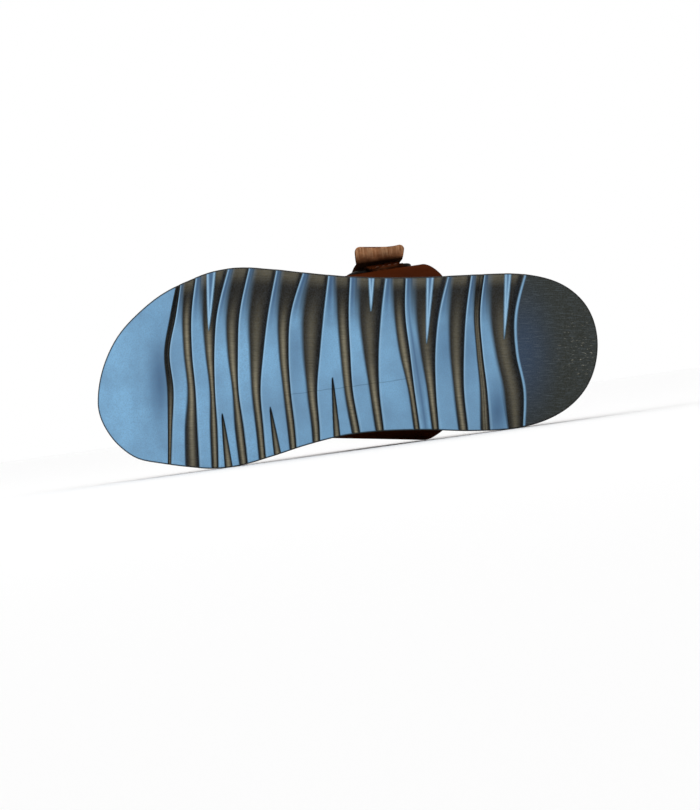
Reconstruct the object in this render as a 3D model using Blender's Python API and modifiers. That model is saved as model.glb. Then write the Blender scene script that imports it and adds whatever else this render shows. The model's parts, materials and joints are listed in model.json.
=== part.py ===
"""A left slide sandal with one wide buckled band, lying on its inner side with its tread facing -Y.

It is modelled in the shoe's own frame: X runs from the heel tip to the toe, Y to the outer side and Z up
from the tread. One empty then lays it on its side, on the sole's inner edge and the band's bulge.
"""

import math

import bmesh
import bpy
import numpy as np
from mathutils import Matrix, Vector

# Sizes of the sole, in metres
LENGTH = 0.270
BALL_WIDTH = 0.1086
HEEL_THICKNESS = 0.0200
WAIST_THICKNESS = 0.0180
BALL_THICKNESS = 0.0150
TOE_THICKNESS = 0.0135
TOE_SPRING = 0.0085
HEEL_BEVEL = 0.0022
SPRING_START = 0.640
BEVEL_END = 0.100
TREAD_DEPTH = 0.0022
TREAD_EDGE = 0.0009
TOP_EDGE = 0.0012
FIN_DROP = 0.0006
SPLIT_DEPTH = 0.0018
SPIKE_FULLNESS = 0.65

# Sizes of the footbed
INSOLE_THICKNESS = 0.0045
INSOLE_INSET = 0.0020
INSOLE_EDGE = 0.0012
HEEL_CUP = 0.0035
ARCH_RISE = 0.0050
TOE_RIM = 0.0012

# Sizes of the band
BAND_WALL = 0.0026
BAND_HEIGHT = 0.0885
BAND_HALF_WIDTH = 0.0477
NOTCH_REACH = 0.0120

# Sizes of the buckle and its strap
STRAP_THICKNESS = 0.0018
STRAP_WIDTH = 0.0260
STRAP_RUN = 0.0980
STRAP_TIP_RADIUS = 0.0090
TAIL_WIDTH = 0.0283
TAIL_ACROSS = 0.0580
TAIL_DROP = 0.0100
TAIL_CURL = 0.0016
TAIL_CORNER = 0.0028
CHAPE_THICKNESS = 0.0012
CHAPE_WIDTH = 0.0180
CHAPE_RUN = 0.0100
CHAPE_FOLD = 0.0085
CHAPE_LEAVE = 0.0036
CHAPE_SETTLE = 0.0064
FRAME_WIDTH = 0.0370
FRAME_LENGTH = 0.0290
FRAME_BAR = 0.0038
FRAME_THICKNESS = 0.0022
FRAME_PIN = 0.0024
FRAME_CORNER = 0.0045
PRONG_BAR = 0.0018
PRONG_OVERHANG = 0.0016
BUCKLE_ALONG = 0.314
BUCKLE_DOWN = 0.0465

# Clearances
GAP = 0.0003
SLOT_GAP = 0.0003
SLOT_END_GAP = 0.0009
PIN_GAP = 0.0004
CUT_MARGIN = 0.0030

# How finely the forms are divided
SOLE_STATIONS = 44
TREAD_STATIONS = 12
BAND_ROWS = 30
BAND_COLUMNS = 7
SLOT_ROWS = 4
NOTCH_ROWS = 6
FOOTBED_SHARES = (0.0, 0.05, 0.16, 0.32, 0.50, 0.68, 0.84, 0.95, 1.0)

# The sole's edge: share of the length from the heel, and shares of the ball width to each side
SOLE_EDGE = (
    # along, outer, inner
    (0.000, 0.035, -0.035),
    (0.030, 0.255, 0.203),
    (0.080, 0.347, 0.310),
    (0.150, 0.388, 0.373),
    (0.250, 0.385, 0.392),
    (0.350, 0.373, 0.387),
    (0.450, 0.372, 0.397),
    (0.500, 0.377, 0.412),
    (0.580, 0.394, 0.461),
    (0.650, 0.412, 0.518),
    (0.720, 0.420, 0.567),
    (0.770, 0.400, 0.579),
    (0.820, 0.353, 0.570),
    (0.870, 0.290, 0.554),
    (0.920, 0.191, 0.529),
    (0.960, 0.079, 0.459),
    (0.985, -0.045, 0.377),
    (1.000, -0.248, 0.248),
)

# Where the tread's lands end, as shares of the length, read at these shares of the ball width across
TREAD_ACROSS = (0.372, 0.183, 0.000, -0.188, -0.387, -0.565)
TOE_FIELD = (0.839, 0.855, 0.867, 0.861, 0.859, 0.859)
HEEL_FIELD = (0.147, 0.165, 0.163, 0.148, 0.149, 0.150)
TREAD_BARS = (
    # toe-side edge, heel-side edge
    ((0.831, 0.842, 0.855, 0.847, 0.850, 0.852), (0.826, 0.832, 0.829, 0.821, 0.824, 0.823)),
    ((0.802, 0.811, 0.810, 0.803, 0.799, 0.795), (0.792, 0.793, 0.786, 0.776, 0.774, 0.771)),
    ((0.742, 0.760, 0.765, 0.764, 0.759, 0.757), (0.732, 0.745, 0.742, 0.731, 0.724, 0.715)),
    ((0.700, 0.715, 0.718, 0.717, 0.706, 0.698), (0.690, 0.702, 0.699, 0.693, 0.682, 0.675)),
    ((0.644, 0.658, 0.667, 0.673, 0.667, 0.661), (0.634, 0.642, 0.639, 0.630, 0.619, 0.612)),
    ((0.591, 0.613, 0.617, 0.613, 0.604, 0.599), (0.579, 0.595, 0.593, 0.583, 0.571, 0.568)),
    ((0.538, 0.547, 0.554, 0.560, 0.555, 0.553), (0.525, 0.523, 0.517, 0.508, 0.492, 0.478)),
    ((0.494, 0.497, 0.494, 0.489, 0.475, 0.464), (0.481, 0.482, 0.472, 0.458, 0.444, 0.432)),
    ((0.423, 0.432, 0.437, 0.436, 0.427, 0.420), (0.411, 0.409, 0.399, 0.380, 0.367, 0.356)),
    ((0.383, 0.384, 0.375, 0.366, 0.355, 0.346), (0.371, 0.369, 0.358, 0.343, 0.331, 0.321)),
    ((0.299, 0.317, 0.324, 0.323, 0.317, 0.312), (0.293, 0.301, 0.299, 0.290, 0.278, 0.268)),
    ((0.253, 0.263, 0.267, 0.267, 0.259, 0.252), (0.244, 0.249, 0.244, 0.237, 0.234, 0.231)),
    ((0.227, 0.235, 0.230, 0.221, 0.215, 0.210), (0.220, 0.221, 0.210, 0.193, 0.179, 0.168)),
)

# Pointed fins that stand in the wider grooves, from the outer edge to a tip
OUTER_FINS = (
    # tip along, tip across, toe-side and heel-side edge where the fin leaves the outer edge
    (0.777, 0.106, 0.781, 0.764),
    (0.453, 0.200, 0.458, 0.446),
    (0.342, 0.040, 0.342, 0.3275),
    (0.187, 0.066, 0.186, 0.1735),
)

# Pointed cuts that split the wider bars, from the inner edge to a tip
INNER_SPLITS = (
    # tip along, tip across, toe-side and heel-side edge where the cut leaves the inner edge
    (0.750, -0.305, 0.744, 0.730),
    (0.654, -0.275, 0.643, 0.628),
    (0.530, -0.126, 0.524, 0.508),
)

# A groove's section, steep on its heel side and with a soft shoulder on its toe side
GROOVE_PROFILE = (
    # share of the groove's width from its heel side, share of the tread's depth
    (0.00, 0.00),
    (0.10, 1.00),
    (0.58, 1.00),
    (0.84, 0.45),
    (1.00, 0.00),
)
GROOVE_FLARE = 0.10

# How a fin or a split widens, as shares of the way from its tip to the sole's edge and past it
SPIKE_SHARES = (0.01, 0.10, 0.35, 0.70, 1.0, 1.5)

# The band's middle surface, from its inner root over the crown to its outer root. Along is a share of the
# length, across a share of the band's half width and height a share of the band's height.
BAND_ARCH = (
    # name, front along, front across, front height, rear along, rear across, rear height
    ("inner_root", 0.507, -0.870, 0.090, 0.296, -0.788, 0.115),
    ("inner_foot", 0.517, -0.901, 0.226, 0.308, -0.870, 0.250),
    ("inner_side", 0.544, -0.948, 0.420, 0.339, -0.972, 0.465),
    ("inner_shoulder", 0.585, -0.755, 0.680, 0.378, -0.820, 0.790),
    ("crown", 0.630, -0.060, 0.850, 0.422, -0.050, 1.000),
    ("outer_shoulder", 0.590, 0.615, 0.690, 0.382, 0.790, 0.805),
    ("outer_side", 0.541, 0.822, 0.440, 0.343, 0.998, 0.500),
    ("outer_foot", 0.512, 0.800, 0.230, 0.312, 0.885, 0.262),
    ("outer_root", 0.500, 0.760, 0.090, 0.300, 0.772, 0.115),
)


def smooth_curve(knots, values):
    """A function that runs smoothly through the values, and straight on past both ends."""
    knots = np.asarray(knots, float)
    values = np.asarray(values, float)
    steps = np.diff(knots)
    shape = (-1,) + (1,) * (values.ndim - 1)
    rises = np.diff(values, axis=0) / steps.reshape(shape)
    before, after = steps[:-1].reshape(shape), steps[1:].reshape(shape)
    slopes = np.empty_like(values)
    slopes[1:-1] = (rises[:-1] * after + rises[1:] * before) / (before + after)
    slopes[0] = (3 * rises[0] - slopes[1]) / 2
    slopes[-1] = (3 * rises[-1] - slopes[-2]) / 2

    def curve(at):
        if at <= knots[0]:
            return values[0] + slopes[0] * (at - knots[0])
        if at >= knots[-1]:
            return values[-1] + slopes[-1] * (at - knots[-1])
        i = int(np.searchsorted(knots, at, side="right")) - 1
        step = steps[i]
        share = (at - knots[i]) / step
        rest = 1 - share
        return (
            values[i] * rest * rest * (1 + 2 * share)
            + values[i + 1] * share * share * (3 - 2 * share)
            + slopes[i] * step * share * rest * rest
            - slopes[i + 1] * step * share * share * rest
        )

    return curve


def turn_at(along):
    """The angle of a station on a half circle from heel to toe, which rounds both ends of the sole."""
    return math.acos(1 - 2 * along)


EDGE_TURNS = [turn_at(row[0]) for row in SOLE_EDGE]
outer_edge = smooth_curve(EDGE_TURNS, [row[1] * BALL_WIDTH for row in SOLE_EDGE])
inner_edge = smooth_curve(EDGE_TURNS, [-row[2] * BALL_WIDTH for row in SOLE_EDGE])

sole_thickness = smooth_curve(
    (0.0, 0.30, 0.50, 0.72, 1.0),
    (HEEL_THICKNESS, HEEL_THICKNESS, WAIST_THICKNESS, BALL_THICKNESS, TOE_THICKNESS),
)


def tread_height(x):
    """How far the tread rises from its plane: the toe spring, and the bevel at the heel."""
    along = x / LENGTH
    if along > SPRING_START:
        return TOE_SPRING * ((along - SPRING_START) / (1 - SPRING_START)) ** 2
    if along < BEVEL_END:
        return HEEL_BEVEL * (1 - along / BEVEL_END) ** 2
    return 0.0


def sole_top(x):
    """The height of the outsole's upper side. The heel bevel doesn't lift it."""
    spring = tread_height(x) if x > SPRING_START * LENGTH else 0.0
    return spring + sole_thickness(x / LENGTH)


def edge_stations(inset):
    """Paired points of the outer and the inner edge from heel to toe, moved inwards by the inset."""
    turns = [math.pi * i / SOLE_STATIONS for i in range(SOLE_STATIONS + 1)]
    along = [LENGTH * (1 - math.cos(turn)) / 2 for turn in turns]
    outer = [Vector((x, outer_edge(turn))) for x, turn in zip(along, turns)]
    inner = [Vector((x, inner_edge(turn))) for x, turn in zip(along, turns)]
    loop = outer + inner[-2:0:-1]
    moved = []
    for i, point in enumerate(loop):
        way = (loop[(i + 1) % len(loop)] - loop[i - 1]).normalized()
        moved.append(point + inset * Vector((way.y, -way.x)))
    outer = moved[: SOLE_STATIONS + 1]
    inner = [moved[0], *moved[:SOLE_STATIONS:-1], moved[SOLE_STATIONS]]
    return list(zip(outer, inner))


def new_object(name, mesh, collection):
    made = bpy.data.objects.new(name, mesh)
    collection.objects.link(made)
    return made


def object_from(shape, name, collection):
    """An object from a bmesh, with doubled points merged and its faces turned outwards."""
    bmesh.ops.remove_doubles(shape, verts=shape.verts, dist=1e-6)
    bmesh.ops.dissolve_degenerate(shape, edges=shape.edges, dist=1e-7)
    bmesh.ops.recalc_face_normals(shape, faces=shape.faces)
    mesh = bpy.data.meshes.new(name)
    shape.to_mesh(mesh)
    shape.free()
    return new_object(name, mesh, collection)


def add_grid(shape, rows, ring=False):
    """Quads between rows of points. A ring also closes each row on itself."""
    made = [[shape.verts.new(point) for point in row] for row in rows]
    for first, second in zip(made, made[1:]):
        for i in range(len(first) - (0 if ring else 1)):
            j = (i + 1) % len(first)
            shape.faces.new((first[i], first[j], second[j], second[i]))
    return made


def subtract(piece, cutter, name):
    cut = piece.modifiers.new(name, "BOOLEAN")
    cut.operation = "DIFFERENCE"
    cut.solver = "EXACT"
    cut.object = cutter


def add_sides(shape, sides):
    """Rings around the sole: an inset and a height, from the lowest to the highest."""
    rings = []
    for inset, height in sides:
        pairs = edge_stations(inset)
        outer = [(p.x, p.y, height(p.x, 0.0)) for p, _ in pairs]
        inner = [(p.x, p.y, height(p.x, 1.0)) for _, p in pairs]
        inner[0], inner[-1] = outer[0], outer[-1]
        rings.append(outer + inner[::-1])
    add_grid(shape, rings, ring=True)


def add_face(shape, inset, height, shares):
    """A face across the sole, divided at shares from its outer to its inner edge."""
    rows = []
    for i, (outer, inner) in enumerate(edge_stations(inset)):
        row = []
        for share in shares:
            point = outer.lerp(inner, share)
            at = 0.0 if i in (0, SOLE_STATIONS) else share
            row.append((point.x, point.y, height(point.x, at)))
        rows.append(row)
    add_grid(shape, rows)


def make_outsole(parts):
    """The unit sole before its tread is cut: upright sides, with a small bevel at both edges."""
    sides = (
        (TREAD_EDGE, lambda x, share: tread_height(x)),
        (0.0, lambda x, share: tread_height(x) + TREAD_EDGE),
        (0.0, lambda x, share: sole_top(x) - TOP_EDGE),
        (TOP_EDGE, lambda x, share: sole_top(x)),
    )
    shape = bmesh.new()
    add_sides(shape, sides)
    add_face(shape, *sides[0], (0.0, 1.0))
    add_face(shape, *sides[-1], (0.0, 1.0))
    return object_from(shape, "outsole", parts)


def footbed_height(x, share):
    """The footbed's upper side: cupped at the heel, raised at the inner arch, with a low rim at the toe."""
    along = x / LENGTH
    edge = abs(2 * share - 1) ** 2.4
    heel = HEEL_CUP * math.exp(-((along / 0.22) ** 2))
    toe = TOE_RIM * math.exp(-(((1 - along) / 0.25) ** 2))
    arch = ARCH_RISE * math.exp(-(((along - 0.42) / 0.12) ** 2)) * max(0.0, 2 * share - 1) ** 1.6
    waist = TOE_RIM * math.exp(-(((along - 0.42) / 0.15) ** 2)) * max(0.0, 1 - 2 * share) ** 2
    return sole_top(x) + GAP + INSOLE_THICKNESS + (heel + toe) * edge + arch + waist


def make_insole(parts):
    """The footbed, with upright sides, a rounded upper edge and a flat underside."""
    sides = (
        (INSOLE_INSET, lambda x, share: sole_top(x) + GAP),
        (INSOLE_INSET, lambda x, share: footbed_height(x, share) - INSOLE_EDGE),
        (INSOLE_INSET + INSOLE_EDGE, footbed_height),
    )
    shape = bmesh.new()
    add_sides(shape, sides)
    add_face(shape, *sides[0], (0.0, 1.0))
    add_face(shape, *sides[-1], FOOTBED_SHARES)
    return object_from(shape, "insole", parts)


def tread_line(shares):
    """An edge of the tread as a function of the place across: metres from the heel."""
    places = [share * BALL_WIDTH for share in reversed(TREAD_ACROSS)]
    return smooth_curve(places, [share * LENGTH for share in reversed(shares)])


def add_prism(shape, sections):
    """A closed solid through matching sections, capped at both ends."""
    made = add_grid(shape, sections, ring=True)
    shape.faces.new(made[0])
    shape.faces.new(list(reversed(made[-1])))


def groove_section(y, toe_side, heel_side):
    """One section of a groove, which flares on past the tread so that the cut leaves no skin."""
    width = toe_side - heel_side
    profile = [(heel_side + share * width, rise * TREAD_DEPTH) for share, rise in GROOVE_PROFILE]
    flare = GROOVE_FLARE * width
    profile = [(heel_side - flare, -CUT_MARGIN), *profile, (toe_side + flare, -CUT_MARGIN)]
    return [(x, y, tread_height(x) + rise) for x, rise in profile]


def make_grooves(cutters):
    """All the grooves between the lands, as one cutter of separate bodies."""
    shape = bmesh.new()
    toe_sides = (TOE_FIELD,) + tuple(bar[1] for bar in TREAD_BARS)
    heel_sides = tuple(bar[0] for bar in TREAD_BARS) + (HEEL_FIELD,)
    inner = -max(row[2] for row in SOLE_EDGE) * BALL_WIDTH - CUT_MARGIN
    outer = max(row[1] for row in SOLE_EDGE) * BALL_WIDTH + CUT_MARGIN
    for toe_side, heel_side in zip(toe_sides, heel_sides):
        front, rear = tread_line(toe_side), tread_line(heel_side)
        places = [inner + (outer - inner) * i / TREAD_STATIONS for i in range(TREAD_STATIONS + 1)]
        add_prism(shape, [groove_section(y, front(y), rear(y)) for y in places])
    return object_from(shape, "tread_grooves", cutters)


def spike_section(y, toe_side, heel_side, low, high):
    """A section of a fin or a split, from one height to another over the tread."""
    corners = ((heel_side, low), (toe_side, low), (toe_side, high), (heel_side, high))
    return [(x, y, tread_height(x) + rise) for x, rise in corners]


def add_spike(shape, spike, edge_across, low, high):
    """A pointed wedge from its tip to past the sole's edge."""
    tip_along, tip_across, toe_side, heel_side = spike
    middle, half = (toe_side + heel_side) / 2, (toe_side - heel_side) / 2
    sections = []
    for share in SPIKE_SHARES:
        across = tip_across + (edge_across - tip_across) * share
        centre = tip_along + (middle - tip_along) * share
        reach = half * share**SPIKE_FULLNESS
        ends = (centre + reach) * LENGTH, (centre - reach) * LENGTH
        sections.append(spike_section(across * BALL_WIDTH, *ends, low, high))
    add_prism(shape, sections)


def make_fins(cutters):
    """The fins, a little lower than the lands, which stay when the grooves are cut."""
    shape = bmesh.new()
    for fin in OUTER_FINS:
        add_spike(shape, fin, TREAD_ACROSS[0], FIN_DROP, TREAD_DEPTH + CUT_MARGIN)
    return object_from(shape, "tread_fins", cutters)


def make_splits(cutters):
    shape = bmesh.new()
    for split in INNER_SPLITS:
        add_spike(shape, split, TREAD_ACROSS[-1], -CUT_MARGIN, SPLIT_DEPTH)
    return object_from(shape, "tread_splits", cutters)


def band_edges():
    """The band's rear and front edge as smooth curves of one share of the way over the arch."""
    scale = Vector((LENGTH, BAND_HALF_WIDTH, BAND_HEIGHT))
    front = [Vector(row[1:4]) * scale for row in BAND_ARCH]
    rear = [Vector(row[4:7]) * scale for row in BAND_ARCH]
    middle = [(a + b) / 2 for a, b in zip(front, rear)]
    ways = [0.0]
    for a, b in zip(middle, middle[1:]):
        ways.append(ways[-1] + (b - a).length)
    knots = [way / ways[-1] for way in ways]
    return smooth_curve(knots, rear), smooth_curve(knots, front)


band_rear, band_front = band_edges()


def band_point(over, forward):
    """A point of the band's middle surface: over from inner to outer root, forward from rear to front."""
    rear, front = Vector(band_rear(over)), Vector(band_front(over))
    return rear.lerp(front, forward)


def band_normal(over, forward):
    """The direction that points out of the band there."""
    step = 1e-3
    up = band_point(over + step, forward) - band_point(over - step, forward)
    ahead = band_point(over, forward + step) - band_point(over, forward - step)
    return ahead.cross(up).normalized()


def evenly(first, last, count):
    return [first + (last - first) * i / count for i in range(count + 1)]


def solid_sheet(name, rows, thickness, collection):
    """A sheet of quads, thickened to both sides."""
    shape = bmesh.new()
    add_grid(shape, rows)
    bmesh.ops.recalc_face_normals(shape, faces=shape.faces)
    mesh = bpy.data.meshes.new(name)
    shape.to_mesh(mesh)
    shape.free()
    made = new_object(name, mesh, collection)
    wall = made.modifiers.new("wall", "SOLIDIFY")
    wall.thickness = thickness
    wall.offset = 0.0
    wall.use_even_offset = True
    return made


def make_band(parts):
    rows = [
        [band_point(over, forward) for forward in evenly(0.0, 1.0, BAND_COLUMNS)]
        for over in evenly(0.0, 1.0, BAND_ROWS)
    ]
    return solid_sheet("upper_band", rows, BAND_WALL, parts)


def root_body(shape, rows, outer_root, past, inside, outside):
    """A closed body around one root of the band, as many of the band's rows high, on the band's own rows."""
    overs = [-past / band_length()] + [row / BAND_ROWS for row in range(rows + 1)]
    if outer_root:
        overs = [1 - over for over in overs]
    width = (band_point(overs[1], 1.0) - band_point(overs[1], 0.0)).length
    ends = SLOT_END_GAP / width
    sections = []
    for forward in [-ends, *evenly(0.0, 1.0, BAND_COLUMNS), 1 + ends]:
        ring = []
        for reach, way in ((-inside, overs), (outside, reversed(overs))):
            for over in way:
                ring.append(band_point(over, forward) + band_normal(over, forward) * reach)
        sections.append(ring)
    add_prism(shape, sections)


def make_slots(cutters):
    """Two slots that hold the band's roots in the outsole."""
    shape = bmesh.new()
    half = BAND_WALL / 2 + SLOT_GAP
    root_body(shape, SLOT_ROWS, False, SLOT_GAP, half, half)
    root_body(shape, SLOT_ROWS, True, SLOT_GAP, half, half)
    return object_from(shape, "band_slots", cutters)


def make_notches(cutters):
    """Two notches in the footbed's edge, open to the outside, that let the band pass."""
    shape = bmesh.new()
    inside = BAND_WALL / 2 + SLOT_GAP
    root_body(shape, NOTCH_ROWS, False, SLOT_GAP, inside, NOTCH_REACH)
    root_body(shape, NOTCH_ROWS, True, SLOT_GAP, inside, NOTCH_REACH)
    return object_from(shape, "band_notches", cutters)


def band_length():
    """The way over the band's middle line, from root to root."""
    points = [band_point(over, 0.5) for over in evenly(0.0, 1.0, 60)]
    return sum((b - a).length for a, b in zip(points, points[1:]))


def buckle_line():
    """The outer surface's way over the arch under the strap, as a function from metres to the share over.

    Zero is the buckle's middle, which lies BUCKLE_DOWN from the crown's row towards the outer side.
    """
    overs = evenly(0.0, 1.0, 160)
    ways = [0.0]
    points = [on_band(over, BUCKLE_ALONG, 0.0) for over in overs]
    for a, b in zip(points, points[1:]):
        ways.append(ways[-1] + (b - a).length)
    crown = max(range(len(points)), key=lambda i: points[i].z)
    middle = ways[crown] + BUCKLE_DOWN
    return lambda way: float(np.interp(way + middle, ways, overs))


def on_band(over, forward, out):
    """A point at a distance out from the band's outer surface."""
    reach = BAND_WALL / 2 + out
    return band_point(over, forward) + band_normal(over, forward) * reach


over_at = buckle_line()


def beside_buckle(way, ahead, out):
    """A point from the buckle's middle: its way down the arch, its distance ahead and its height out."""
    over = over_at(way)
    width = (band_point(over, 1.0) - band_point(over, 0.0)).length
    return on_band(over, BUCKLE_ALONG + ahead / width, out)


FRAME_HALF = FRAME_LENGTH / 2 - FRAME_BAR / 2
FRAME_OUT = GAP + STRAP_THICKNESS + GAP + FRAME_THICKNESS / 2
PRONG_TURN = FRAME_PIN / 2 + PIN_GAP + PRONG_BAR / 2
PRONG_OUT = FRAME_OUT + PRONG_TURN
STRAP_LOW = GAP + STRAP_THICKNESS / 2
STRAP_HIGH = PRONG_OUT + PRONG_BAR / 2 + GAP + STRAP_THICKNESS / 2


def tube(name, points, width, cyclic, resolution, collection):
    """A round bar through the points, as a mesh."""
    curve = bpy.data.curves.new(name, "CURVE")
    curve.dimensions = "3D"
    curve.bevel_depth = width / 2
    curve.bevel_resolution = resolution
    curve.use_fill_caps = not cyclic
    line = curve.splines.new("POLY")
    line.points.add(len(points) - 1)
    for point, place in zip(line.points, points):
        point.co = (*place, 1.0)
    line.use_cyclic_u = cyclic
    guide = new_object(name + "_guide", curve, collection)
    graph = bpy.context.evaluated_depsgraph_get()
    mesh = bpy.data.meshes.new_from_object(guide.evaluated_get(graph))
    mesh.name = name
    bpy.data.objects.remove(guide)
    bpy.data.curves.remove(curve)
    shape = bmesh.new()
    shape.from_mesh(mesh)
    bmesh.ops.remove_doubles(shape, verts=shape.verts, dist=1e-6)
    bmesh.ops.recalc_face_normals(shape, faces=shape.faces)
    shape.to_mesh(mesh)
    shape.free()
    return new_object(name, mesh, collection)


def frame_line():
    """The frame's middle line: way, ahead, the direction outwards in its plane, and half its bar's width."""
    half_way = FRAME_HALF - FRAME_CORNER
    half_ahead = (FRAME_WIDTH - FRAME_BAR) / 2 - FRAME_CORNER
    places = []
    for corner, (way_side, ahead_side) in enumerate(((1, 1), (-1, 1), (-1, -1), (1, -1))):
        for step in range(5):
            turn = math.radians(90 * corner + 22.5 * step)
            way = half_way * way_side + FRAME_CORNER * math.cos(turn)
            ahead = half_ahead * ahead_side + FRAME_CORNER * math.sin(turn)
            places.append((way, ahead, math.cos(turn), math.sin(turn), FRAME_BAR / 2))
        if corner in (0, 2):
            places.append((0.0, ahead, 0.0, ahead_side, FRAME_BAR / 2))
        if corner == 1:
            for share in (0.35, -0.35):
                places.append((-FRAME_HALF, half_ahead * share, -1.0, 0.0, FRAME_BAR / 2))
    pin_end = CHAPE_WIDTH / 2 + GAP
    for share in (-1.0, -0.35, 0.35, 1.0):
        places.append((FRAME_HALF, pin_end * share, 1.0, 0.0, FRAME_PIN / 2))
    return places


def make_frame(parts):
    """The buckle's frame: a rounded rectangle of flat bar that follows the band, with a round lower bar."""
    shape = bmesh.new()
    upper_half = ((1.0, 0.4), (0.55, 1.0), (-0.55, 1.0), (-1.0, 0.4))
    profile = upper_half + tuple((-sideways, -up) for sideways, up in upper_half)
    rings = []
    for way, ahead, out_way, out_ahead, half in frame_line():
        ring = []
        for sideways, up in profile:
            reach = sideways * half
            height = FRAME_OUT + up * FRAME_THICKNESS / 2
            ring.append(beside_buckle(way + out_way * reach, ahead + out_ahead * reach, height))
        rings.append(ring)
    add_grid(shape, [*rings, rings[0]], ring=True)
    return object_from(shape, "buckle_frame", parts)


def prong_places():
    """The prong's line: most of a turn around the lower bar, then straight over the upper bar."""
    places = []
    for degrees in range(-160, 91, 25):
        turn = math.radians(degrees)
        way = FRAME_HALF + PRONG_TURN * math.cos(turn)
        places.append((way, FRAME_OUT + PRONG_TURN * math.sin(turn)))
    for way in evenly(FRAME_HALF * 0.6, -FRAME_HALF - PRONG_OVERHANG, 4):
        places.append((way, PRONG_OUT))
    return places


def make_prong(parts):
    points = [beside_buckle(way, 0.0, out) for way, out in prong_places()]
    return tube("buckle_prong", points, PRONG_BAR, False, 2, parts)


def make_prong_room(cutters):
    """The prong's own line, thicker by a gap all round, which opens the hole in the strap."""
    points = [beside_buckle(way, 0.0, out) for way, out in prong_places()]
    return tube("prong_room", points, PRONG_BAR + 2 * GAP, False, 2, cutters)


def make_chape_room(cutters):
    """The slot in the chape for the prong's turn."""
    shape = bmesh.new()
    half = PRONG_BAR / 2 + GAP
    reach = PRONG_TURN + PRONG_BAR / 2 + GAP
    sections = []
    for way in evenly(FRAME_HALF - reach, FRAME_HALF + reach, 3):
        corners = ((-half, -GAP), (half, -GAP), (half, STRAP_HIGH), (-half, STRAP_HIGH))
        sections.append([beside_buckle(way, ahead, out) for ahead, out in corners])
    add_prism(shape, sections)
    return object_from(shape, "chape_room", cutters)


STRAP_CROSSING = (
    # place between the bars, share of the rise from under the upper bar to over the lower bar
    (-1.00, 0.00),
    (-0.60, 0.04),
    (-0.20, 0.26),
    (0.33, 0.76),
    (0.72, 0.97),
    (1.00, 1.00),
)
strap_rise = smooth_curve(
    [FRAME_HALF * place for place, _ in STRAP_CROSSING],
    [STRAP_LOW + (STRAP_HIGH - STRAP_LOW) * share for _, share in STRAP_CROSSING],
)


TAIL_HANG = (
    # share of the free tail, share of its reach outwards, share of its drop
    (0.00, 0.00, 0.00),
    (0.35, 0.22, 0.45),
    (0.70, 0.58, 0.80),
    (1.00, 1.00, 1.00),
)


def rounded_off(from_end, radius):
    """How much a rounded corner takes off each side, at a distance from the end."""
    inward = max(0.0, 1 - from_end / radius)
    return radius * (1 - math.sqrt(1 - inward * inward))


def make_strap(parts):
    """The strap: flat on the band, under the upper bar, over the lower bar, and its free tail."""
    rows = []
    shares = (-1.0, -0.5, 0.0, 0.5, 1.0)
    tip = [STRAP_TIP_RADIUS * share for share in (0.0, 0.07, 0.25, 0.55, 1.0)]
    for from_end in tip + evenly(STRAP_TIP_RADIUS, STRAP_RUN - FRAME_HALF, 14)[1:]:
        half = STRAP_WIDTH / 2 - rounded_off(from_end, STRAP_TIP_RADIUS)
        rows.append([beside_buckle(from_end - STRAP_RUN, half * share, STRAP_LOW) for share in shares])
    for way in evenly(-FRAME_HALF, FRAME_HALF, 10)[1:]:
        out = float(strap_rise(way))
        rows.append([beside_buckle(way, STRAP_WIDTH / 2 * share, out) for share in shares])
    tail = smooth_curve([row[0] for row in TAIL_HANG], [row[1:] for row in TAIL_HANG])
    start = beside_buckle(FRAME_HALF, 0.0, STRAP_HIGH)
    tail_length = math.hypot(TAIL_ACROSS - start.y, TAIL_DROP)
    for step in (0.25, 0.50, 0.72, 0.86, 0.95, 1.0):
        reach, drop = tail(step)
        half = STRAP_WIDTH / 2 + (TAIL_WIDTH - STRAP_WIDTH) / 2 * step
        half -= rounded_off((1 - step) * tail_length, TAIL_CORNER)
        row = []
        for share in shares:
            point = beside_buckle(FRAME_HALF, half * share, STRAP_HIGH)
            curl = TAIL_CURL * step * step * max(0.0, -share) ** 2
            out = (TAIL_ACROSS - point.y) * reach + curl
            row.append(point + Vector((0.0, out, -TAIL_DROP * drop)))
        rows.append(row)
    return solid_sheet("buckle_strap", rows, STRAP_THICKNESS, parts)


def make_chape(parts):
    """The folded tab: up the band, round the lower bar and back down over itself."""
    turn_radius = FRAME_PIN / 2 + PIN_GAP + CHAPE_THICKNESS / 2
    under = GAP + CHAPE_THICKNESS / 2
    over = under + CHAPE_THICKNESS + GAP
    low = FRAME_OUT - turn_radius
    places = [(way, under) for way in evenly(FRAME_HALF + CHAPE_RUN, FRAME_HALF + CHAPE_LEAVE, 5)]
    places.append((FRAME_HALF, low))
    for degrees in (-120, -150, -180, -210, -240, -270):
        turn = math.radians(degrees)
        way = FRAME_HALF + turn_radius * math.cos(turn)
        places.append((way, FRAME_OUT + turn_radius * math.sin(turn)))
    high = FRAME_OUT + turn_radius
    places.append((FRAME_HALF + 0.27 * CHAPE_SETTLE, high - 0.3 * CHAPE_THICKNESS))
    places.append((FRAME_HALF + 0.60 * CHAPE_SETTLE, (high + over) / 2))
    places += [(way, over) for way in evenly(FRAME_HALF + CHAPE_SETTLE, FRAME_HALF + CHAPE_FOLD, 3)]
    rows = [
        [beside_buckle(way, CHAPE_WIDTH / 2 * share, out) for share in (-1.0, -0.5, 0.0, 0.5, 1.0)]
        for way, out in places
    ]
    return solid_sheet("buckle_chape", rows, CHAPE_THICKNESS, parts)


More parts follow.
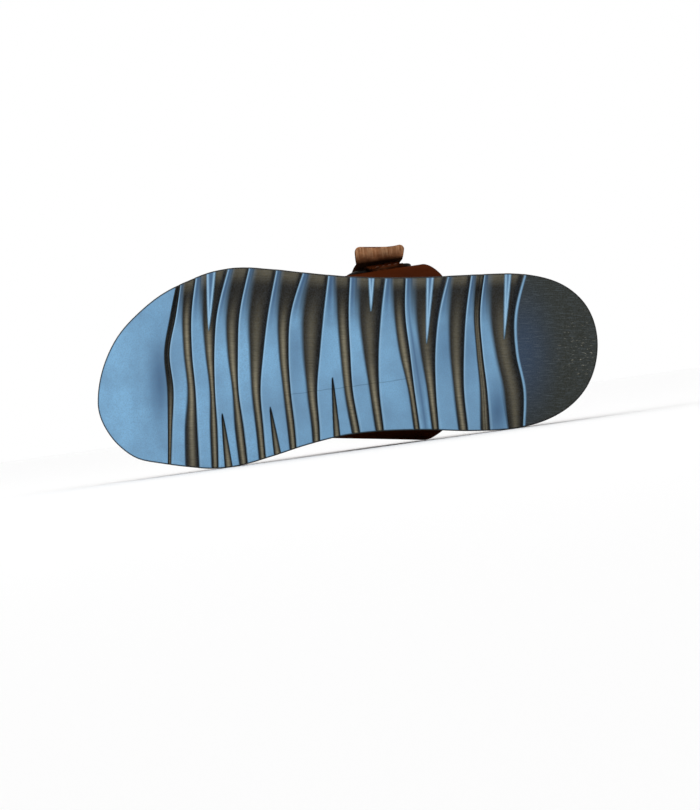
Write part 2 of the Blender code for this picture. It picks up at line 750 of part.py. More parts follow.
def finish(piece, colour, roughness, metallic=0.0):
    """A material of its own, and smooth shading where the surface is round."""
    material = bpy.data.materials.new(piece.name)
    material.use_nodes = True
    shader = material.node_tree.nodes["Principled BSDF"]
    shader.inputs["Base Color"].default_value = (*colour, 1.0)
    shader.inputs["Roughness"].default_value = roughness
    shader.inputs["Metallic"].default_value = metallic
    piece.data.materials.clear()
    piece.data.materials.append(material)
    piece.data.shade_smooth()
    piece.data.set_sharp_from_angle(angle=math.radians(35))


def slope_under(points, over):
    """The slope of the lowest straight line that carries the points on both sides of one place."""
    points = sorted(points)
    hull = []
    for point in points:
        while len(hull) > 1:
            (ax, ay), (bx, by) = hull[-2], hull[-1]
            if (bx - ax) * (point[1] - ay) - (by - ay) * (point[0] - ax) > 0:
                break
            hull.pop()
        hull.append(point)
    for (ax, ay), (bx, by) in zip(hull, hull[1:]):
        if ax <= over <= bx:
            return (by - ay) / (bx - ax)
    return 0.0


def points_of(pieces):
    """All points of the finished pieces, in the shoe's frame."""
    graph = bpy.context.evaluated_depsgraph_get()
    found = []
    for piece in pieces:
        evaluated = piece.evaluated_get(graph)
        mesh = evaluated.to_mesh()
        found += [piece.matrix_world @ vertex.co for vertex in mesh.vertices]
        evaluated.to_mesh_clear()
    return found


def centre_of(points, axis):
    """A fair place of the weight along one axis: the middle of all points."""
    return sum(point[axis] for point in points) / len(points)


def lay_on_side(pieces, cutters):
    """Turns the shoe onto its inner side, with ball, heel and the band's bulge on the floor."""
    tread_to_front = Matrix(((-1, 0, 0), (0, 0, 1), (0, 1, 0))).to_4x4()
    points = [tread_to_front @ point for point in points_of(pieces)]
    roll = math.atan(slope_under([(p.x, p.z) for p in points], centre_of(points, 0)))
    rolled = Matrix.Rotation(roll, 4, "Y")
    points = [rolled @ point for point in points]
    lean = -math.atan(slope_under([(p.y, p.z) for p in points], centre_of(points, 1)))
    leaned = Matrix.Rotation(lean, 4, "X")
    points = [leaned @ point for point in points]
    lows = [min(p[axis] for p in points) for axis in range(3)]
    highs = [max(p[axis] for p in points) for axis in range(3)]
    move = Vector(((lows[0] + highs[0]) / -2, (lows[1] + highs[1]) / -2, -lows[2]))
    pose = bpy.data.objects.new("lying_on_its_side", None)
    bpy.context.scene.collection.objects.link(pose)
    pose.matrix_world = Matrix.Translation(move) @ leaned @ rolled @ tread_to_front
    for piece in pieces + cutters:
        piece.parent = pose
    bpy.context.view_layer.update()


def hide_cutters(cutters):
    for cutter in cutters.objects:
        cutter.hide_render = True
        cutter.display_type = "WIRE"


def clear_scene():
    for old in list(bpy.data.objects):
        bpy.data.objects.remove(old)


def main():
    clear_scene()
    parts = bpy.data.collections.new("buckled_slide_sandal")
    cutters = bpy.data.collections.new("cutters")
    bpy.context.scene.collection.children.link(parts)
    bpy.context.scene.collection.children.link(cutters)

    outsole = make_outsole(parts)
    grooves = make_grooves(cutters)
    subtract(grooves, make_fins(cutters), "fins")
    subtract(outsole, grooves, "tread")
    subtract(outsole, make_splits(cutters), "splits")
    subtract(outsole, make_slots(cutters), "slots")
    finish(outsole, (0.10, 0.25, 0.42), 0.35)

    insole = make_insole(parts)
    subtract(insole, make_notches(cutters), "notches")
    finish(insole, (0.16, 0.075, 0.035), 0.65)

    band = make_band(parts)
    finish(band, (0.07, 0.018, 0.006), 0.5)

    strap = make_strap(parts)
    subtract(strap, make_prong_room(cutters), "prong_hole")
    finish(strap, (0.08, 0.022, 0.008), 0.5)

    chape = make_chape(parts)
    subtract(chape, make_chape_room(cutters), "prong_slot")
    finish(chape, (0.08, 0.022, 0.008), 0.5)

    finish(make_frame(parts), (0.012, 0.010, 0.009), 0.3, 1.0)
    finish(make_prong(parts), (0.012, 0.010, 0.009), 0.3, 1.0)

    hide_cutters(cutters)
    bpy.context.view_layer.update()
    lay_on_side(list(parts.objects), list(cutters.objects))


main()
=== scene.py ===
"""The looks of a left slide sandal with one wide buckled band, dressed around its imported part.

Pieces are worked out in the shoe's own frame: X runs from the heel tip to the toe, Y to the outer side
and Z up from the tread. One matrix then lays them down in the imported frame, where the shoe lies on its
inner side.
"""

import json
import math

import bmesh
import bpy
import numpy as np
from mathutils import Matrix, Vector


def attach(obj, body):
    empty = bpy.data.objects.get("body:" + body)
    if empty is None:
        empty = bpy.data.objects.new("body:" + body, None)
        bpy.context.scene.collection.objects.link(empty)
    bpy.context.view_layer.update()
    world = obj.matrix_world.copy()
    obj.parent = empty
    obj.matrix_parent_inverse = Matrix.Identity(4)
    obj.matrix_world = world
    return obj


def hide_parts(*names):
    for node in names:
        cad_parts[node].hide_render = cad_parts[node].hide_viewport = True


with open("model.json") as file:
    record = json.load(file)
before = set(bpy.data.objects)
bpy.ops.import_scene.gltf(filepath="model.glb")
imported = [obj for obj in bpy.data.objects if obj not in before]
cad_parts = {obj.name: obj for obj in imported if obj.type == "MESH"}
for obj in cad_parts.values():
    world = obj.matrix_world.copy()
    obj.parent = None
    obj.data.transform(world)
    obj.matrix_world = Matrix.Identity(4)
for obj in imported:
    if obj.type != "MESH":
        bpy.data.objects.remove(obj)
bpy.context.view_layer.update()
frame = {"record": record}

# Sizes of the sole and the footbed, in metres, as the part has them
LENGTH = 0.270
BALL_WIDTH = 0.1086
HEEL_THICKNESS = 0.0200
WAIST_THICKNESS = 0.0180
BALL_THICKNESS = 0.0150
TOE_THICKNESS = 0.0135
TOE_SPRING = 0.0085
HEEL_BEVEL = 0.0022
SPRING_START = 0.640
BEVEL_END = 0.100
TREAD_DEPTH = 0.0022
TREAD_EDGE = 0.0009
TOP_EDGE = 0.0012
FIN_DROP = 0.0006
SPLIT_DEPTH = 0.0018
SPIKE_FULLNESS = 0.65
SPIKE_SLOPE = 0.0009
INSOLE_THICKNESS = 0.0045
INSOLE_INSET = 0.0020
INSOLE_EDGE = 0.0012
HEEL_CUP = 0.0035
ARCH_RISE = 0.0050
TOE_RIM = 0.0012

# Sizes of the band, the strap and the buckle
BAND_WALL = 0.0026
BAND_HEIGHT = 0.0885
BAND_HALF_WIDTH = 0.0477
NOTCH_REACH = 0.0120
STRAP_THICKNESS = 0.0018
STRAP_WIDTH = 0.0260
STRAP_RUN = 0.0980
STRAP_TIP_RADIUS = 0.0090
TAIL_WIDTH = 0.0283
TAIL_ACROSS = 0.0580
TAIL_DROP = 0.0100
TAIL_CURL = 0.0016
TAIL_CORNER = 0.0028
CHAPE_THICKNESS = 0.0012
CHAPE_WIDTH = 0.0180
CHAPE_RUN = 0.0100
CHAPE_FOLD = 0.0085
CHAPE_LEAVE = 0.0036
CHAPE_SETTLE = 0.0064
FRAME_WIDTH = 0.0370
FRAME_LENGTH = 0.0290
FRAME_BAR = 0.0038
FRAME_THICKNESS = 0.0022
FRAME_PIN = 0.0024
FRAME_CORNER = 0.0045
PRONG_BAR = 0.0018
PRONG_OVERHANG = 0.0016
BUCKLE_ALONG = 0.314
BUCKLE_DOWN = 0.0465
GAP = 0.0003
SLOT_GAP = 0.0003
SLOT_END_GAP = 0.0009
PIN_GAP = 0.0004

# The shoe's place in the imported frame, and the photograph's view of it
HEEL_SPOT = 0.034
VIEW_DISTANCE = 2.50
VIEW_WIDTH = 0.377
VIEW_ALONG = 0.1336
VIEW_ACROSS = -0.0285
SENSOR = 36.0
FLOOR_RADIUS = 9.0

# The light: how bright the white surroundings are, and one soft box at the toe's side, in watts
STUDIO_STRENGTH = 1.0
KEY_POWER = 3.0

# How finely the forms are divided
SOLE_SAMPLES = 360
TREAD_ROWS = 96
FIELD_LINES = 26
FIELD_EASE = 0.35
FIELD_RIM_SHARES = (0.0, 0.004, 0.008, 0.012, 0.017, 0.023, 0.031)
FINE_STEPS = 36
WALL_STEPS = 7
ROUND_STEPS = 4
FOOTBED_STATIONS = 150
FOOTBED_ROWS = 44
BAND_ROWS = 110
BAND_STEPS = 30
OVER_SAMPLES = 160
LENGTH_SAMPLES = 60
STRAP_STEPS = 12
STRAP_EDGE = 0.0004
BAND_EDGE = 0.0009

# How close points are merged, in metres, and the angles in degrees past which an edge stays sharp
MERGE_WITHIN = 2e-6
FLAT_WITHIN = 1e-7
SOLE_SHARP = 55.0
FOOTBED_SHARP = 60.0
LEATHER_SHARP = 50.0

# The sole's edge: share of the length from the heel, and shares of the ball width to each side
SOLE_EDGE = (
    # along, outer, inner
    (0.000, 0.035, -0.035),
    (0.030, 0.255, 0.203),
    (0.080, 0.347, 0.310),
    (0.150, 0.388, 0.373),
    (0.250, 0.385, 0.392),
    (0.350, 0.373, 0.387),
    (0.450, 0.372, 0.397),
    (0.500, 0.377, 0.412),
    (0.580, 0.394, 0.461),
    (0.650, 0.412, 0.518),
    (0.720, 0.420, 0.567),
    (0.770, 0.400, 0.579),
    (0.820, 0.353, 0.570),
    (0.870, 0.290, 0.554),
    (0.920, 0.191, 0.529),
    (0.960, 0.079, 0.459),
    (0.985, -0.045, 0.377),
    (1.000, -0.248, 0.248),
)

# Where the tread's lands end, as shares of the length, read at these shares of the ball width across
TREAD_ACROSS = (0.372, 0.183, 0.000, -0.188, -0.387, -0.565)
TOE_FIELD = (0.839, 0.855, 0.867, 0.861, 0.859, 0.859)
HEEL_FIELD = (0.147, 0.165, 0.163, 0.148, 0.149, 0.150)
TREAD_BARS = (
    # toe-side edge, heel-side edge
    ((0.831, 0.842, 0.855, 0.847, 0.850, 0.852), (0.826, 0.832, 0.829, 0.821, 0.824, 0.823)),
    ((0.802, 0.811, 0.810, 0.803, 0.799, 0.795), (0.792, 0.793, 0.786, 0.776, 0.774, 0.771)),
    ((0.742, 0.760, 0.765, 0.764, 0.759, 0.757), (0.732, 0.745, 0.742, 0.731, 0.724, 0.715)),
    ((0.700, 0.715, 0.718, 0.717, 0.706, 0.698), (0.690, 0.702, 0.699, 0.693, 0.682, 0.675)),
    ((0.644, 0.658, 0.667, 0.673, 0.667, 0.661), (0.634, 0.642, 0.639, 0.630, 0.619, 0.612)),
    ((0.591, 0.613, 0.617, 0.613, 0.604, 0.599), (0.579, 0.595, 0.593, 0.583, 0.571, 0.568)),
    ((0.538, 0.547, 0.554, 0.560, 0.555, 0.553), (0.525, 0.523, 0.517, 0.508, 0.492, 0.478)),
    ((0.494, 0.497, 0.494, 0.489, 0.475, 0.464), (0.481, 0.482, 0.472, 0.458, 0.444, 0.432)),
    ((0.423, 0.432, 0.437, 0.436, 0.427, 0.420), (0.411, 0.409, 0.399, 0.380, 0.367, 0.356)),
    ((0.383, 0.384, 0.375, 0.366, 0.355, 0.346), (0.371, 0.369, 0.358, 0.343, 0.331, 0.321)),
    ((0.299, 0.317, 0.324, 0.323, 0.317, 0.312), (0.293, 0.301, 0.299, 0.290, 0.278, 0.268)),
    ((0.253, 0.263, 0.267, 0.267, 0.259, 0.252), (0.244, 0.249, 0.244, 0.237, 0.234, 0.231)),
    ((0.227, 0.235, 0.230, 0.221, 0.215, 0.210), (0.220, 0.221, 0.210, 0.193, 0.179, 0.168)),
)

# Pointed fins that stand in the wider grooves, from the outer edge to a tip
OUTER_FINS = (
    # tip along, tip across, toe-side and heel-side edge where the fin leaves the outer edge
    (0.777, 0.106, 0.781, 0.764),
    (0.453, 0.200, 0.458, 0.446),
    (0.342, 0.040, 0.342, 0.3275),
    (0.187, 0.066, 0.186, 0.1735),
)

# Pointed cuts that split the wider bars, from the inner edge to a tip
INNER_SPLITS = (
    # tip along, tip across, toe-side and heel-side edge where the cut leaves the inner edge
    (0.750, -0.305, 0.744, 0.730),
    (0.654, -0.275, 0.643, 0.628),
    (0.530, -0.126, 0.524, 0.508),
)

# The band's middle surface, from its inner root over the crown to its outer root
BAND_ARCH = (
    # name, front along, front across, front height, rear along, rear across, rear height
    ("inner_root", 0.507, -0.870, 0.090, 0.296, -0.788, 0.115),
    ("inner_foot", 0.517, -0.901, 0.226, 0.308, -0.870, 0.250),
    ("inner_side", 0.544, -0.948, 0.420, 0.339, -0.972, 0.465),
    ("inner_shoulder", 0.585, -0.755, 0.680, 0.378, -0.820, 0.790),
    ("crown", 0.630, -0.060, 0.850, 0.422, -0.050, 1.000),
    ("outer_shoulder", 0.590, 0.615, 0.690, 0.382, 0.790, 0.805),
    ("outer_side", 0.541, 0.822, 0.440, 0.343, 0.998, 0.500),
    ("outer_foot", 0.512, 0.800, 0.230, 0.312, 0.885, 0.262),
    ("outer_root", 0.500, 0.760, 0.090, 0.300, 0.772, 0.115),
)

# Colours, as red, green and blue from 0 to 255
PALE_BLUE = (124, 172, 208)
GREY_BLUE = (100, 134, 164)
# painted shade in the cores of the outer lands, the fins and the narrow bars, and on the curving toe field
SHADED_BLUE = (50, 78, 112)
# painted highlight along the rims of the lands and fins and at the heel field's edge
RIM_HIGHLIGHT_BLUE = (160, 200, 228)
NIGHT_BLUE = (46, 62, 84)
HEEL_BLACK = (42, 44, 38)
GROOVE_BROWN = (34, 31, 25)
# painted sheen on the floors of the grooves and inside the splits
GROOVE_SHEEN_TAN = (172, 163, 136)
# painted shadow lines in the grooves, at the splits and along the fold, and the black of the sole's upright
# sides
SHADOW_AND_WALL_BLACK = (10, 10, 10)
BAND_BROWN = (62, 25, 8)
# the burnished and waxed cut edges, and painted shade low on the band
EDGE_AND_SHADE_BROWN = (34, 15, 7)
NAP_BROWN = (132, 90, 62)
NAP_DARK = (70, 42, 26)
CUT_TAN = (176, 122, 82)
BAND_WARM = (76, 34, 13)
STRAP_WARM = (84, 42, 20)
TAIL_NAP = (196, 136, 94)
# painted sheen streaks on the tail's brushed nap
TAIL_SHEEN_STREAK = (240, 196, 152)
TAIL_NAP_DARK = (134, 86, 56)
TAIL_SHADE = (30, 15, 8)
SCUFF_GREY = (150, 146, 132)
SPECK_GREY = (150, 165, 180)
BRUSH_GREY = (94, 104, 112)
FOOTBED_CLOUD = (92, 57, 36)
THREAD_LIGHT = (96, 62, 40)
FOOTBED_BROWN = (104, 66, 42)
FOOTBED_DARK = (62, 37, 23)
METAL_BLACK = (18, 15, 13)
METAL_WORN = (92, 80, 66)
THREAD_BROWN = (58, 34, 20)
FLOOR_WHITE = (252, 252, 252)


def evenly(first, last, count):
    """Numbers from first to last in this many equal steps."""
    return [first + (last - first) * i / count for i in range(count + 1)]


def smooth(share):
    """A soft rise from 0 to 1 as the share goes from 0 to 1."""
    held = np.clip(share, 0.0, 1.0)
    return held * held * (3 - 2 * held)


def hump(value, centre, reach):
    """A soft hump: 1 at the centre, falling away over the reach on both sides."""
    return np.exp(-(((value - centre) / reach) ** 2))


def smooth_curve(knots, values):
    """A function that runs smoothly through the values, and straight on past both ends."""
    knots = np.asarray(knots, float)
    values = np.asarray(values, float)
    steps = np.diff(knots)
    shape = (-1,) + (1,) * (values.ndim - 1)
    rises = np.diff(values, axis=0) / steps.reshape(shape)
    before, after = steps[:-1].reshape(shape), steps[1:].reshape(shape)
    slopes = np.empty_like(values)
    slopes[1:-1] = (rises[:-1] * after + rises[1:] * before) / (before + after)
    slopes[0] = (3 * rises[0] - slopes[1]) / 2
    slopes[-1] = (3 * rises[-1] - slopes[-2]) / 2

    def curve(at):
        if at <= knots[0]:
            return values[0] + slopes[0] * (at - knots[0])
        if at >= knots[-1]:
            return values[-1] + slopes[-1] * (at - knots[-1])
        i = int(np.searchsorted(knots, at, side="right")) - 1
        step = steps[i]
        share = (at - knots[i]) / step
        rest = 1 - share
        return (
            values[i] * rest * rest * (1 + 2 * share)
            + values[i + 1] * share * share * (3 - 2 * share)
            + slopes[i] * step * share * rest * rest
            - slopes[i + 1] * step * share * share * rest
        )

    return curve


def shoe_frame():
    """The matrix from the shoe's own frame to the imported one, from the tread's two mounts."""
    spots = {mount["name"]: Vector(mount["pos_m"]) for mount in frame["record"]["mounts"]}
    ahead = (spots["tread_forefoot"] - spots["tread_heel"]).normalized()
    outward = Vector((0.0, 1.0, 0.0)).cross(ahead).normalized()
    up = ahead.cross(outward)
    origin = spots["tread_heel"] - ahead * HEEL_SPOT
    turned = Matrix((ahead, outward, up)).transposed().to_4x4()
    return Matrix.Translation(origin) @ turned


laid_down = shoe_frame()


class Shell:
    """Points, quads and painted masks of one piece, gathered patch by patch in the shoe's own frame."""

    def __init__(self, *masks):
        self.points = []
        self.quads = []
        self.masks = {name: [] for name in masks}
        self.count = 0

    def add(self, places, ring=False, **masks):
        """A grid of points with quads between its rows. A ring also closes each row on itself."""
        places = np.asarray(places, float)
        rows, columns = places.shape[:2]
        index = self.count + np.arange(rows * columns).reshape(rows, columns)
        if ring:
            index = np.concatenate([index, index[:, :1]], axis=1)
        corners = (index[:-1, :-1], index[:-1, 1:], index[1:, 1:], index[1:, :-1])
        self.quads.append(np.stack(corners, axis=-1).reshape(-1, 4))
        self.points.append(places.reshape(-1, 3))
        for name, held in self.masks.items():
            value = np.broadcast_to(np.asarray(masks.get(name, 0.0), float), (rows, columns))
            held.append(value.reshape(-1))
        self.count += rows * columns

    def piece(self, name, sharp):
        """The finished object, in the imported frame, with doubled points merged and smooth shading."""
        turned = np.array(laid_down)
        points = np.concatenate(self.points) @ turned[:3, :3].T + turned[:3, 3]
        mesh = bpy.data.meshes.new(name)
        mesh.from_pydata(points.tolist(), [], np.concatenate(self.quads).tolist())
        for mask, held in self.masks.items():
            mesh.attributes.new(mask, "FLOAT", "POINT").data.foreach_set("value", np.concatenate(held))
        shape = bmesh.new()
        shape.from_mesh(mesh)
        bmesh.ops.remove_doubles(shape, verts=shape.verts, dist=MERGE_WITHIN)
        bmesh.ops.dissolve_degenerate(shape, edges=shape.edges, dist=FLAT_WITHIN)
        bmesh.ops.recalc_face_normals(shape, faces=shape.faces)
        shape.to_mesh(mesh)
        shape.free()
        made = bpy.data.objects.new(name, mesh)
        bpy.context.scene.collection.objects.link(made)
        mesh.shade_smooth()
        if sharp:
            mesh.set_sharp_from_angle(angle=math.radians(sharp))
        return made


# The sole's outline and heights


def turn_at(along):
    """The angle of a station on a half circle from heel to toe, which rounds both ends of the sole."""
    return math.acos(1 - 2 * along)


EDGE_TURNS = [turn_at(row[0]) for row in SOLE_EDGE]
outer_edge = smooth_curve(EDGE_TURNS, [row[1] * BALL_WIDTH for row in SOLE_EDGE])
inner_edge = smooth_curve(EDGE_TURNS, [-row[2] * BALL_WIDTH for row in SOLE_EDGE])

THICKNESS_AT = (0.0, 0.30, 0.50, 0.72, 1.0)
THICKNESSES = (HEEL_THICKNESS, HEEL_THICKNESS, WAIST_THICKNESS, BALL_THICKNESS, TOE_THICKNESS)
sole_thickness = smooth_curve(THICKNESS_AT, THICKNESSES)
THICKNESS_SAMPLES = np.array([sole_thickness(share) for share in evenly(0.0, 1.0, 200)])


def tread_height(x):
    """How far the tread rises from its plane: the toe spring, and the bevel at the heel."""
    along = np.asarray(x) / LENGTH
    spring = np.clip((along - SPRING_START) / (1 - SPRING_START), 0.0, None)
    bevel = np.clip(1 - along / BEVEL_END, 0.0, None)
    return TOE_SPRING * spring**2 + HEEL_BEVEL * bevel**2


def sole_top(x):
    """The height of the outsole's upper side. The heel bevel doesn't lift it."""
    along = np.asarray(x) / LENGTH
    spring = np.clip((along - SPRING_START) / (1 - SPRING_START), 0.0, None)
    thickness = np.interp(along, evenly(0.0, 1.0, 200), THICKNESS_SAMPLES)
    return TOE_SPRING * spring**2 + thickness


class Outline:
    """The sole's edge moved inwards: both sides from heel to toe, and the way out at each point."""

    def __init__(self, inset):
        self.turns = np.linspace(0.0, math.pi, SOLE_SAMPLES + 1)
        along = LENGTH * (1 - np.cos(self.turns)) / 2
        outer = np.stack([along, [outer_edge(turn) for turn in self.turns]], axis=1)
        inner = np.stack([along, [inner_edge(turn) for turn in self.turns]], axis=1)
        loop = np.concatenate([outer, inner[-2:0:-1]])
        way = np.roll(loop, -1, axis=0) - np.roll(loop, 1, axis=0)
        way /= np.linalg.norm(way, axis=1)[:, None]
        out = np.stack([-way[:, 1], way[:, 0]], axis=1)
        loop = loop - inset * out
        last = SOLE_SAMPLES
        back = np.concatenate([[0], np.arange(len(loop) - 1, last, -1), [last]])
        self.sides = {1: (loop[: last + 1], out[: last + 1]), -1: (loop[back], out[back])}

    def place(self, side, turn):
        """The point and the outward direction at one turn of the half circle."""
        points, out = self.sides[side]
        point = [np.interp(turn, self.turns, points[:, axis]) for axis in (0, 1)]
        way = [np.interp(turn, self.turns, out[:, axis]) for axis in (0, 1)]
        return np.array(point), np.array(way)

    def turn_of(self, side, along):
        """The turn at which this side lies at a distance from the heel."""
        return float(np.interp(along, self.sides[side][0][:, 0], self.turns))


tread_outline = Outline(TREAD_EDGE)

# The tread


def tread_line(shares):
    """An edge of the tread as a function of the place across: metres from the heel."""
    places = [share * BALL_WIDTH for share in reversed(TREAD_ACROSS)]
    return smooth_curve(places, [share * LENGTH for share in reversed(shares)])


ACROSS_SAMPLES = np.linspace(-0.66 * BALL_WIDTH, 0.48 * BALL_WIDTH, 320)


def tread_edges():
    """All edges of lands from heel to toe, as metres from the heel over the samples across."""
    rows = [HEEL_FIELD]
    for toe_side, heel_side in reversed(TREAD_BARS):
        rows += [heel_side, toe_side]
    rows.append(TOE_FIELD)
    return [np.array([tread_line(row)(y) for y in ACROSS_SAMPLES]) for row in rows]


LAND_EDGES = tread_edges()
LAND_SHARES = (0.0, 0.035, 0.09, 0.18, 0.32, 0.50, 0.68, 0.82, 0.91, 0.965)
GROOVE_WALL_SHARES = (0.0, 0.02, 0.05, 0.08, 0.12, 0.17)
GROOVE_SHARES = (*GROOVE_WALL_SHARES, 0.24, 0.32, 0.40, 0.48, 0.56, 0.64, 0.72, 0.80, 0.87, 0.94)


def spike_inside(spikes, edge_across, u, v):
    """How far each place lies inside the pointed fins or cuts, in metres, and below 0 outside them."""
    found = np.full_like(u, -1.0)
    for tip_along, tip_across, toe_side, heel_side in spikes:
        share = (v / BALL_WIDTH - tip_across) / (edge_across - tip_across)
        centre = tip_along + ((toe_side + heel_side) / 2 - tip_along) * share
        reach = (toe_side - heel_side) / 2 * np.clip(share, 0.0, None) ** SPIKE_FULLNESS
        inside = np.where(share > 0, reach * LENGTH - np.abs(u - centre * LENGTH), -1.0)
        found = np.maximum(found, inside)
    return found


def holds_spike(stripe, spikes):
    """Whether a pointed fin or cut has its tip between the two edges of this stripe."""
    for tip_along, tip_across, _, _ in spikes:
        across = tip_across * BALL_WIDTH
        low, high = (np.interp(across, ACROSS_SAMPLES, LAND_EDGES[edge]) for edge in (stripe, stripe + 1))
        if low < tip_along * LENGTH < high:
            return True
    return False


def crossing(line, side):
    """The turn of the outline where a line over the tread meets this side."""
    across = 0.0
    for _ in range(12):
        along = float(np.interp(across, ACROSS_SAMPLES, line))
        turn = tread_outline.turn_of(side, along)
        across = tread_outline.place(side, turn)[0][1]
    return turn


ACROSS_SHARES = np.linspace(0.0, 1.0, TREAD_ROWS + 1)


def stripe_line(stripe, share):
    """One line of points over the tread between two edges of lands, from the outer to the inner side."""
    line = LAND_EDGES[stripe] * (1 - share) + LAND_EDGES[stripe + 1] * share
    turns = crossing(line, 1), crossing(line, -1)
    outer, inner = tread_outline.place(1, turns[0])[0], tread_outline.place(-1, turns[1])[0]
    v = outer[1] + (inner[1] - outer[1]) * ACROSS_SHARES
    u = np.interp(v, ACROSS_SAMPLES, line)
    width = np.interp(v, ACROSS_SAMPLES, LAND_EDGES[stripe + 1] - LAND_EDGES[stripe])
    return {"u": u, "v": v, "turns": turns, "stripe": stripe, "share": share, "width": width}


def field_lines(edge, end_turn):
    """Lines over the plain field at the heel or the toe, from its boundary to the sole's tip."""
    boundary = LAND_EDGES[edge]
    start = crossing(boundary, 1), crossing(boundary, -1)
    corners = [tread_outline.place(side, turn)[0] for side, turn in zip((1, -1), start)]
    straight_u, straight_v = corners[0][:, None] + (corners[1] - corners[0])[:, None] * ACROSS_SHARES
    bend = np.interp(straight_v, ACROSS_SAMPLES, boundary) - straight_u
    lines = []
    for share in (*FIELD_RIM_SHARES, *evenly(0.0, 1.0, FIELD_LINES)[1:]):
        eased = share + FIELD_EASE * share * (1 - share)
        turns = [turn + (end_turn - turn) * eased for turn in start]
        outer, inner = tread_outline.place(1, turns[0])[0], tread_outline.place(-1, turns[1])[0]
        chord = outer[:, None] + (inner - outer)[:, None] * ACROSS_SHARES
        u = chord[0] + bend * (1 - share) ** 2
        lines.append({"u": u, "v": chord[1], "turns": turns, "stripe": None, "share": share, "width": 0 * u})
    return lines


def tread_lines():
    """Every line of the tread from the heel's tip to the toe's tip."""
    lines = field_lines(0, 0.0)[:0:-1]
    for stripe in range(len(LAND_EDGES) - 1):
        groove = stripe % 2 == 0
        shares = GROOVE_SHARES if groove else LAND_SHARES
        if holds_spike(stripe, OUTER_FINS if groove else INNER_SPLITS):
            shares = sorted(set(shares[:4]) | set(evenly(0.12, 1.0, FINE_STEPS)[:-1]))
        lines += [stripe_line(stripe, share) for share in shares]
    return lines + field_lines(len(LAND_EDGES) - 1, math.pi)


def patch(u, v, along, across, reach_along, reach_across):
    """A soft round patch at a place given as a share of the length and of the ball width."""
    ahead = (u / LENGTH - along) / reach_along
    beside = (v / BALL_WIDTH - across) / reach_across
    return np.exp(-(ahead**2) - beside**2)


# The outer and inner sides of the tread: where each begins and how soon it takes hold, in ball widths
OUTER_START = 0.06
OUTER_REACH = 0.26
INNER_START = 0.10
INNER_REACH = 0.30

# Colour lines of the tread, in metres: thin borders of painted shadow, rims of painted highlight, painted
# shade on the outer lands' rounded sides, and the dish of the outer lands
SHADOW_BORDER_WIDTH = 0.00032
HIGHLIGHT_RIM_WIDTH = 0.00050
SHADED_SIDE_WIDTH = 0.0012
DISH_DEPTH = 0.00035
HEEL_FADE = 0.0012
HEEL_HIGHLIGHT_WIDTH = 0.00034
FIN_FADE = 0.0010
WIDE_GROOVE = 0.0095
NARROW_GROOVE = 0.0040
OUTER_SHEEN_REACH = 0.09

# A groove runs from 0 at its upright wall to 1 at the foot of its slope: how much each of them takes
WALL_SHARE = 0.10
SLOPE_SHARE = 0.42
LIP_SHARE = 0.04
SHOULDER_SHARE = 0.20
SHOULDER_INNER_LOSS = 0.12
SHOULDER_OUTER_LOSS = 0.8

# Soft bands along a stripe, for painted shadows, painted sheen and the painted shade of cores: the share at
# its centre and its reach
WALL_SHADOW = (0.10, 0.09)
FOOT_SHADOW = (0.93, 0.06)
CORE_SHADOW = (0.50, 0.07)
SHEEN_BAND = (0.50, 0.20)
LAND_CORE = (0.58, 0.26)
NARROW_CORE = (0.50, 0.20)

# How strong the painted shadows, highlights, shade and sheen are, from 0 to 1
SHADOW_BORDER_STRENGTH = 0.85
SHADOW_STRENGTH = 0.9
FIN_STRENGTH = 0.9
INNER_HIGHLIGHT_STRENGTH = 0.45
HEEL_HIGHLIGHT_STRENGTH = 0.62
SHADED_SIDE_STRENGTH = 0.70
LAND_CORE_FLOOR = 0.46
NARROW_CORE_STRENGTH = 0.75
SPLIT_SHEEN = 0.85
WIDE_SHEEN = 0.26
OUTER_SHEEN = 0.25
SPLIT_BLACKNESS = 1.8

# Stripes counted from the heel: the narrow bars with a centre of painted shade, and the groove with a core of
# painted shadow
NARROW_BARS = (7,)
CORED_GROOVE = 2

# Masks of the tread: the rim mask paints highlights, the line mask paints shadow lines and the black of the
# upright sides, the core mask paints shade, and the sheen mask paints a sheen
TREAD_MASKS = ("land", "line", "rim", "core", "sheen", "dusk", "night", "wear")
TREAD_PLACES = ("ahead", "beside")

# Deeper blue on some lands: painted shade on the curving toe field, and darker blue on single lands further
# back
SHADE_AND_TONE_PATCHES = (
    # along, across, reach along, reach across, strength
    (0.875, -0.150, 0.023, 0.21, 0.80),
    (0.890, 0.180, 0.050, 0.14, 0.16),
    (0.925, -0.250, 0.007, 0.17, 0.16),
    (0.795, 0.020, 0.030, 0.18, 0.22),
    (0.560, 0.050, 0.030, 0.14, 0.22),
    (0.605, 0.000, 0.026, 0.17, 0.36),
    (0.361, -0.090, 0.020, 0.14, 0.40),
    (0.305, 0.020, 0.034, 0.16, 0.48),
    (0.200, -0.285, 0.022, 0.14, 0.85),
    (0.255, 0.050, 0.030, 0.16, 0.40),
)

# Greyer blue at the waist and on some lands
DUSK_PATCHES = (
    # along, across, reach along, reach across, strength
    (0.835, 0.02, 0.030, 0.16, 0.35),
    (0.58, -0.30, 0.16, 0.16, 0.32),
    (0.365, -0.02, 0.020, 0.30, 0.35),
    (0.27, -0.15, 0.10, 0.25, 0.25),
)

# The heel field: how dusky and dark it is, where a painted navy reflection lightens it, and where it is
# scuffed
HEEL_DUSK = 0.95
OUTER_DUSK = 0.45
OUTER_DUSK_START = 0.22
OUTER_DUSK_REACH = 0.18
NIGHT_STRENGTH = 1.10
NAVY_REFLECTION_STRENGTH = 0.95
NAVY_REFLECTION_PATCH = (0.155, -0.02, 0.058, 0.30)
SCUFFED_PATCH = (0.020, 0.005, 0.050, 0.16)


